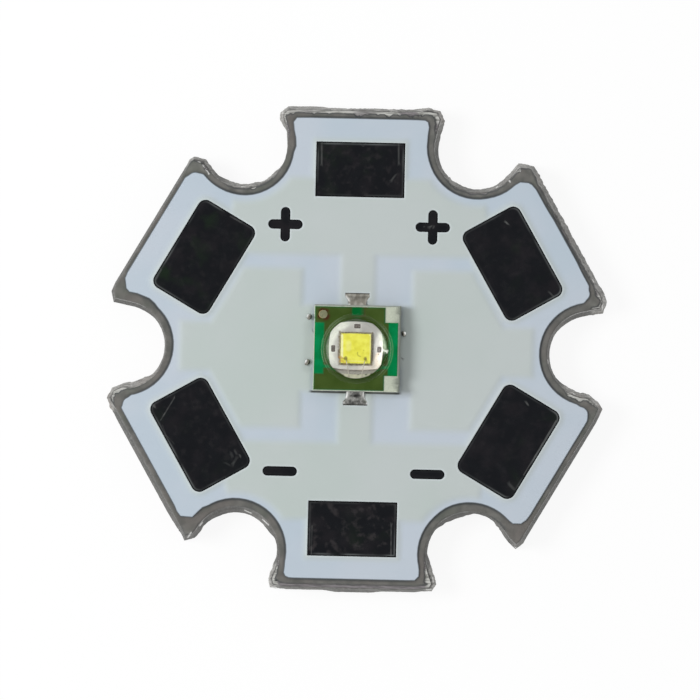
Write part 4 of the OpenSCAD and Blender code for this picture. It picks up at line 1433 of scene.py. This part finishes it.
def past_land_ends(places):
    """One past the slanted ends of the bond land, in seen places."""
    far = [(places - corner) @ np.array(way) for corner, way in LAND_ENDS]
    return smooth_step(np.max(far, axis=0), -0.03, 0.03)


def sector(places, heading, full, end):
    """One for places whose direction is near the heading, in degrees, and 0 past the end."""
    angle = np.degrees(np.arctan2(places[:, 1], places[:, 0]))
    return fade(np.abs((angle - heading + 180) % 360 - 180), full, end)


def ceramic_tile():
    """The tile with its holes. Its north and east sides lean out a little at the foot and have painted
    shade.
    """
    loops = plan_loops("led_ceramic")
    outer = subdivide(loops[0], 0.04)
    uneven = 0.008 * rough_noise(outer, 0.25, 161, 3)
    lean = np.where(outer > TILE_HALF - 0.01, 1, 0) * TILE_LEAN
    rough = outer + lean + uneven[:, None] * outward(outer, 2)
    across = np.arange(-0.8, 0.81, 0.04)
    band = np.array([(x, GAP_MIDDLE + y) for x in across for y in np.arange(-0.12, 0.13, 0.03)])

    def shape(points, edge):
        x, y = points.T
        fall = smooth_step(np.maximum(np.maximum(x, y) - TILE_HALF + 0.01, 0), 0, 0.05)
        pits = 0.01 * unit(rough_noise(points, 0.1, 162, 2) - 0.3)
        gap = 1.0 * (np.abs(y - GAP_MIDDLE) < 0.11) * (np.abs(x) < 1.0)
        speckle = 0.8 + 0.4 * lattice_noise(points, 0.05, 163)
        attributes = {
            # the gap's floor is darker, partly as filling and partly as painted shade
            "gap": gap,
            "gap_shade": gap * smooth_step(y - GAP_MIDDLE, -0.02, 0.07) * speckle,
            # painted shade on the leaning sides
            "side": fall * (0.85 + 0.12 * lattice_noise(points, 0.4, 164)),
            # olive-dark in the gap beyond the slanted ends of the bond land
            "covered": gap * past_land_ends(seen(points)),
        }
        return TILE_TOP - TILE_EDGE_R * fade(edge, 0, 0.02) - TILE_DROP * fall - pits, TILE_LOW, attributes

    made = relief("ceramic_tile", [rough] + loops[1:], shape, 0.2, TILE_ROWS, 0.05, band)
    place(made, "ceramic", [ceramic_paint()], "led_ceramic")


def green_lacquer():
    """The lacquer with its window, lower over bare ceramic than over the film."""
    loops = plan_loops("led_green_mask")
    film = plan_loops("led_anode_metal", "led_cathode_metal")
    dot = middle("led_polarity_dot")[:2] + DOT_SHIFT
    dot_r = half_width("led_polarity_dot")

    def shape(points, edge):
        x, y = points.T
        over = depth_inside(points, film)
        share = smooth_step(over, -0.04, 0.03)
        wave = 0.0015 * rough_noise(points, 0.3, 111, 2) * smooth_step(edge, 0, 0.08)
        top = LACQUER_TOP - FILM_STEP * (1 - share) - rounded_edge(edge) + wave
        ring = np.linalg.norm(points - dot, axis=1) - dot_r
        blotchy = 0.55 + 0.6 * lattice_noise(points, 0.13, 112) + 0.3 * sector(points - dot, -45, 20, 70)
        places = seen(points)
        radius = radii(places)
        # painted reflections of the dome on the lacquer
        left = sector(places, *LEFT_GLEAM)
        gleam = 0.7 * left * fade(radius, 1.1, 1.36)
        gleam = gleam + 0.9 * sector(places, *RIGHT_GLEAM) * fade(radius, 1.14, 1.25)
        arcs = bell(radius - ARC_R[0], 0.018) + 0.7 * bell(radius - ARC_R[1], 0.016)
        top_field = (np.abs(x) < 0.45) * (y > 0.95)
        edge_of_field = top_field * smooth_step(x, 0.12, 0.3) * (share < 0.7)
        attributes = {
            "film": share,
            "seam": 0.5 * bell(over, 0.03) + 0.55 * edge_of_field,
            "dot_ring": fade(ring, 0.03, 0.1 + 0.06 * blotchy) * blotchy,
            "gleam": gleam * (0.9 + 0.3 * lattice_noise(points, 0.07, 113)),
            "arc": 0.45 * arcs * (left + sector(places, *RIGHT_ARC)),
            # painted shade in the ring under the dome's foot
            "under": 0.65 * fade(radius, 1.2, 1.46),
            "spike": fade(path_gap(places, SPIKE_HIGHLIGHT), 0.02, 0.05),
            "dim": 0.8 * top_field + 0.3 * sector(points, 180, 12, 30) * (x > -1.5),
            "pale_spot": fade(np.hypot(x - 0.03, 1.3 * (y - 1.2)), 0.02, 0.16),
        }
        return top, np.where(over > 0, FILM_TOP, TILE_TOP), attributes

    made = relief("lacquer", loops, shape, 0.035, LACQUER_ROWS, 0.035)
    place(made, "green_lacquer", [lacquer_paint()], "led_green_mask")


def plating(node, name, paint, openings=()):
    """Silver plating with painted highlights where the dome reflects, dimmer at the upper right, creamy at
    the lower, with painted shade round the chip.
    """
    loops = plan_loops(node)[:1] + list(openings)

    def shape(points, edge):
        x, y = points.T
        places = seen(points)
        seen_x, seen_y = places.T
        radius = radii(places)
        wave = 0.002 * rough_noise(points, 0.12, 121, 2) * smooth_step(edge, 0, 0.05)
        fine = lattice_noise(points, 0.06, 122)
        # painted highlights where the dome reflects, and the white spike
        left = sector(places, 160, 35, 65) * smooth_step(radius, 0.9, 1.08) * (0.85 + 0.2 * fine)
        right = sector(places, 12, 15, 35) * smooth_step(radius, 0.95, 1.08) * 0.9
        spike = fade(path_gap(places, SPIKE_HIGHLIGHT), 0.02, 0.06)
        field = fade(np.hypot((seen_x - 0.93) / 0.24, (seen_y + 0.42) / 0.36), 0.7, 1.1)
        cream = 0.6 * smooth_step(0.8 * seen_x - seen_y, 0.5, 1.2) + field * (0.9 + 0.5 * fine)
        dim = sector(places, 58, 14, 34) * 0.7 + sector(places, 118, 10, 30) * 0.25
        freckles = field * unit(lattice_noise(points, 0.035, 123) - 0.35) * 1.6
        apart = np.max(np.abs(points), axis=1) - CHIP_HALF
        beside = [-x > CHIP_HALF, x > CHIP_HALF, y > 0]
        wide = np.select(beside, [0.075, 0.05, 0.02], 0.035)
        shadow = fade(apart, 0.3 * wide, wide) * (0.75 + 0.7 * lattice_noise(points, 0.045, 124))
        # painted shade beside the chip
        lilac_shade = fade(apart, 0.05, 0.14) * (x > CHIP_HALF - 0.02) * 0.5
        # darker in patches near the edge of the land
        rim_darkening = unit(lattice_noise(points, 0.09, 125) - 0.1) * fade(edge, 0.02, 0.07)
        on_land = 1.0 * (y < GAP_MIDDLE)
        attributes = {
            "cream": cream,
            "bright": np.max([left, right, spike], axis=0),
            "dim": np.maximum(dim, lilac_shade),
            "shadow": shadow + freckles,
            "stain": stroke_marks(places, ORANGE_STAINS),
            "covered": on_land * (past_land_ends(places) + rim_darkening * 2.4),
            "land": on_land,
        }
        return PLATING_TOP - 0.003 * fade(edge, 0, 0.02) + wave, FILM_TOP, attributes

    made = relief(name, loops, shape, 0.035, (0.01, 0.025), 0.035)
    place(made, "silver", [paint], node)


def yellow_chip():
    """Chip under its yellow layer, with flanks that slope in towards the top."""
    outline = rounded_box(CHIP_HALF, CHIP_HALF, CHIP_CORNER_R, 0.01)
    slope = CHIP_HALF - CHIP_TOP_HALF
    foot = PLATING_TOP + CHIP_FOOT_H

    def shape(points, edge):
        places = seen(points)
        ragged = edge + 0.006 * rough_noise(points, 0.05, 131, 2)
        rise = smooth_step(ragged, -0.3 * slope, slope)
        top = foot + (CHIP_TOP - foot + 0.0015 * rough_noise(points, 0.07, 132, 2)) * rise
        bonds = []
        rings = []
        for side in (-1, 1):
            offset = points - (side * BOND_AT, -BOND_AT)
            far = np.linalg.norm(offset, axis=1) + 0.012 * lattice_noise(points, 0.04, 133)
            dent = fade(far, 0.03, 0.06)
            top = top - 0.01 * dent
            bonds.append(dent * (0.8 if side < 0 else 0.25))
            rings.append(bell(far - 0.052, 0.013) * (1.0 if side < 0 else sector(offset, 180, 90, 140)))
        scratch = stroke_marks(places, CHIP_SCRATCHES)
        attributes = {
            "flank": fade(ragged, 0.6 * slope, 1.15 * slope),
            "bond": np.max(bonds, axis=0),
            "scratch": scratch + 0.9 * np.max(rings, axis=0),
            # painted highlights on the chip
            "gloss": stroke_marks(places, CHIP_HIGHLIGHTS) * (0.9 + 0.3 * lattice_noise(points, 0.05, 134)),
            "stain": stroke_marks(places, ORANGE_STAINS) * 0.8,
        }
        return top - 0.004 * scratch, PLATING_TOP, attributes

    made = relief("yellow_chip", [outline], shape, 0.018, CHIP_ROWS, 0.015)
    place(made, "phosphor", [phosphor_paint()], "led_phosphor", "led_die")


def lathe(name, profile, turns, wobble):
    """Closed piece turned from a profile of (radius, height) from pole to pole."""
    angles = np.linspace(0, 2 * pi, turns, endpoint=False)
    rows = [(r * cos(angle), r * sin(angle), height) for r, height in profile[1:-1] for angle in angles]
    vertices = wobble(np.array([(0, 0, profile[0][1]), *rows, (0, 0, profile[-1][1])], float))
    last = len(vertices) - 1
    ring = range(turns)
    faces = [[0, 1 + b, 1 + a] for a, b in ring_edges(ring)]
    for a, b in ring_edges(*[ring] * (len(profile) - 3)):
        faces.append([1 + a, 1 + b, 1 + turns + b, 1 + turns + a])
    faces += [[last, last - turns + a, last - turns + b] for a, b in ring_edges(ring)]
    return make_object(name, vertices, faces, LATHE_SHARP)


SKIRT_EDGE_R = 0.02
SEAT_DEPTH = 0.01
FLOOR_DEPTH = 0.005
FLOOR_ROW_R = 0.45
SEAT_ROW_R = 1.2
SKIRT_FLAT = 0.03
CAP_ROWS = 60
DOME_TURNS = 160


def bow(centre_r, centre_z, radius, angles):
    """Profile points along an arc."""
    return [(centre_r + radius * cos(radians(a)), centre_z + radius * sin(radians(a))) for a in angles]


def clear_dome():
    """Dome and skirt as one closed body, seated a hair inside what it covers."""
    centre_z = DOME_TOP - DOME_R
    skirt_top = LACQUER_TOP + SKIRT_T
    seat = LACQUER_TOP - SEAT_DEPTH
    floor_z = TILE_TOP - FLOOR_DEPTH
    start = np.degrees(np.arcsin((skirt_top - centre_z) / DOME_R))
    profile = [(radius, floor_z) for radius in (0, FLOOR_ROW_R, WINDOW_R)]
    profile += [(radius, seat) for radius in (WINDOW_R, SEAT_ROW_R, SKIRT_R)]
    profile += bow(SKIRT_R - SKIRT_EDGE_R, skirt_top - SKIRT_EDGE_R, SKIRT_EDGE_R, (0, 30, 60, 90))
    profile += [(DOME_R + SKIRT_FLAT, skirt_top)]
    profile += bow(0, centre_z, DOME_R, np.linspace(start, 90, CAP_ROWS)[:-1])
    profile += [(0, DOME_TOP)]

    def wobble(points):
        radius = radii(points)
        change = 0.012 * lattice_noise(points * (1, 1, 0.2), 0.5, 141)
        change = change * smooth_step(radius, DOME_R, SKIRT_R - SKIRT_FLAT)
        points[:, :2] *= (1 + change / np.maximum(radius, 0.1))[:, None]
        return points

    made = lathe("clear_dome", profile, DOME_TURNS, wobble)
    place(made, "silicone", [silicone_paint()], "led_dome")


def polarity_dot(paint):
    """Small round piece with a softly domed top."""
    node = "led_polarity_dot"

    def shape(points, edge):
        inner = smooth_step(edge, 0.01, 0.05)
        wave = 0.0004 * lattice_noise(points, 0.08, 151)
        return high(node)[2] - DOT_CROWN * (1 - inner) + wave * inner, low(node)[2], {}

    made = relief("bronze_dot", [plan_loops(node)[0] + DOT_SHIFT], shape, 0.02, (0.01, 0.025), 0.02)
    place(made, "bronze", [paint], node)


def spot_outline(spot):
    """Rounded rectangle of a dark spot."""
    half_x, half_y, corner, shift = SPOTS[spot][:4]
    return middle("die_pad_mark_" + spot)[:2] + shift + rounded_box(half_x, half_y, corner, 0.012)


def dark_spot(spot, paint):
    """Dark spot in the plating, of one or two squares with paler middles."""
    node = "die_pad_mark_" + spot
    outline = spot_outline(spot)
    centre = (outline.min(axis=0) + outline.max(axis=0)) / 2
    cells = SPOTS[spot][4]

    def shape(points, edge):
        far = np.min([np.max(np.abs(points - centre - cell), axis=1) for cell in cells], axis=0)
        pale = fade(far + 0.01 * lattice_noise(points, 0.04, 152), 0.008, 0.034)
        top = high(node)[2] - 0.003 * fade(edge, 0, 0.015) + 0.001 * pale
        return top, low(node)[2], {"middle": pale}

    made = relief("dark_spot_" + spot, [outline], shape, 0.013, (0.01,), 0.013)
    place(made, "dark_spot", [paint], node)


# Dresses the CAD nodes whose own shape is right
WELD_REACH = 1e-7
BEVEL_ANGLE = 40


def dress(nodes, paint, bevel=0.008):
    """Gives CAD nodes their finish and fine rounded edges."""
    for name in nodes:
        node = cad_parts[name]
        node.data.materials.clear()
        node.data.materials.append(paint)
        weld = node.modifiers.new("weld", "WELD")
        weld.merge_threshold = WELD_REACH
        if bevel:
            rounding = node.modifiers.new("bevel", "BEVEL")
            rounding.width = bevel * MM
            rounding.segments = 2
            rounding.limit_method = "ANGLE"
            rounding.angle_limit = radians(BEVEL_ANGLE)


def build_board():
    front = resample(plan_loops("dielectric_layer")[0], COLUMN_STEP)
    front = cornered(front, TIP_PATHS, TIP_REACH)
    mask_edge = mask_outline()
    board_metal(front)
    laminate(front, mask_edge)
    white_mask(mask_edge)
    tin = tin_paint()
    for node, (mottle, bloom) in PAD_LOOKS.items():
        tin_piece(node, tin, mottle, bloom)
    for node in SIGNS:
        tin_piece(node, tin, *SIGN_LOOK)
    dress(COPPER, plain_paint("copper_foil", (0.55, 0.25, 0.13), (0.68, 0.33, 0.19), 0.8, 1.0, 0.3))


def build_joints():
    pale = solder_paint("pale_solder", (0.40, 0.385, 0.34), (0.25, 0.235, 0.20), 0.3)
    dark = solder_paint("dark_solder", (0.34, 0.34, 0.32), (0.12, 0.12, 0.115), 0.22)
    solder_tab("solder_tab_top", "anode_solder", 1, pale, 0.012, 0.12)
    solder_tab("solder_tab_bottom", "cathode_solder", -1, dark, 0.035, 0.6)
    for node in BEAD_SPREAD:
        solder_bead(node, pale)
    inner = plain_paint("inner_solder", (0.45, 0.45, 0.44), (0.6, 0.6, 0.58), 0.3, 1.0, 0.3)
    dress(["thermal_solder"], inner)


def build_package():
    ceramic_tile()
    green_lacquer()
    silver = silver_paint()
    plating("led_die_pad", "silver_pad", silver, [spot_outline(spot)[::-1] for spot in SPOTS])
    plating("led_bond_land", "silver_land", silver)
    yellow_chip()
    clear_dome()
    polarity_dot(plain_paint("bronze_dot", (0.19, 0.20, 0.11), (0.28, 0.28, 0.17), 0.12, 0.3, 0.4))
    spots = spot_paint()
    for spot in SPOTS:
        dark_spot(spot, spots)
    gold = plain_paint("gold_plate", (0.80, 0.56, 0.24), (0.92, 0.68, 0.32), 0.3, 1.0, 0.22)
    dress(["led_anode_pad", "led_cathode_pad", "led_thermal_pad"], gold)
    dress(["led_anode_metal", "led_cathode_metal"], gold, 0.004)
    dress(["bond_wire_left", "bond_wire_right"], wire_paint(), 0)
    vias = [pole + "_via_" + side for pole in ("anode", "cathode") for side in ("left", "right")]
    dress(vias, plain_paint("via_copper", (0.55, 0.27, 0.14), (0.65, 0.34, 0.2), 0.2, 1.0, 0.35))


bpy.context.scene.view_settings.view_transform = "Standard"
add_camera()
add_world()
add_lamp()
add_floor()
build_board()
build_joints()
build_package()
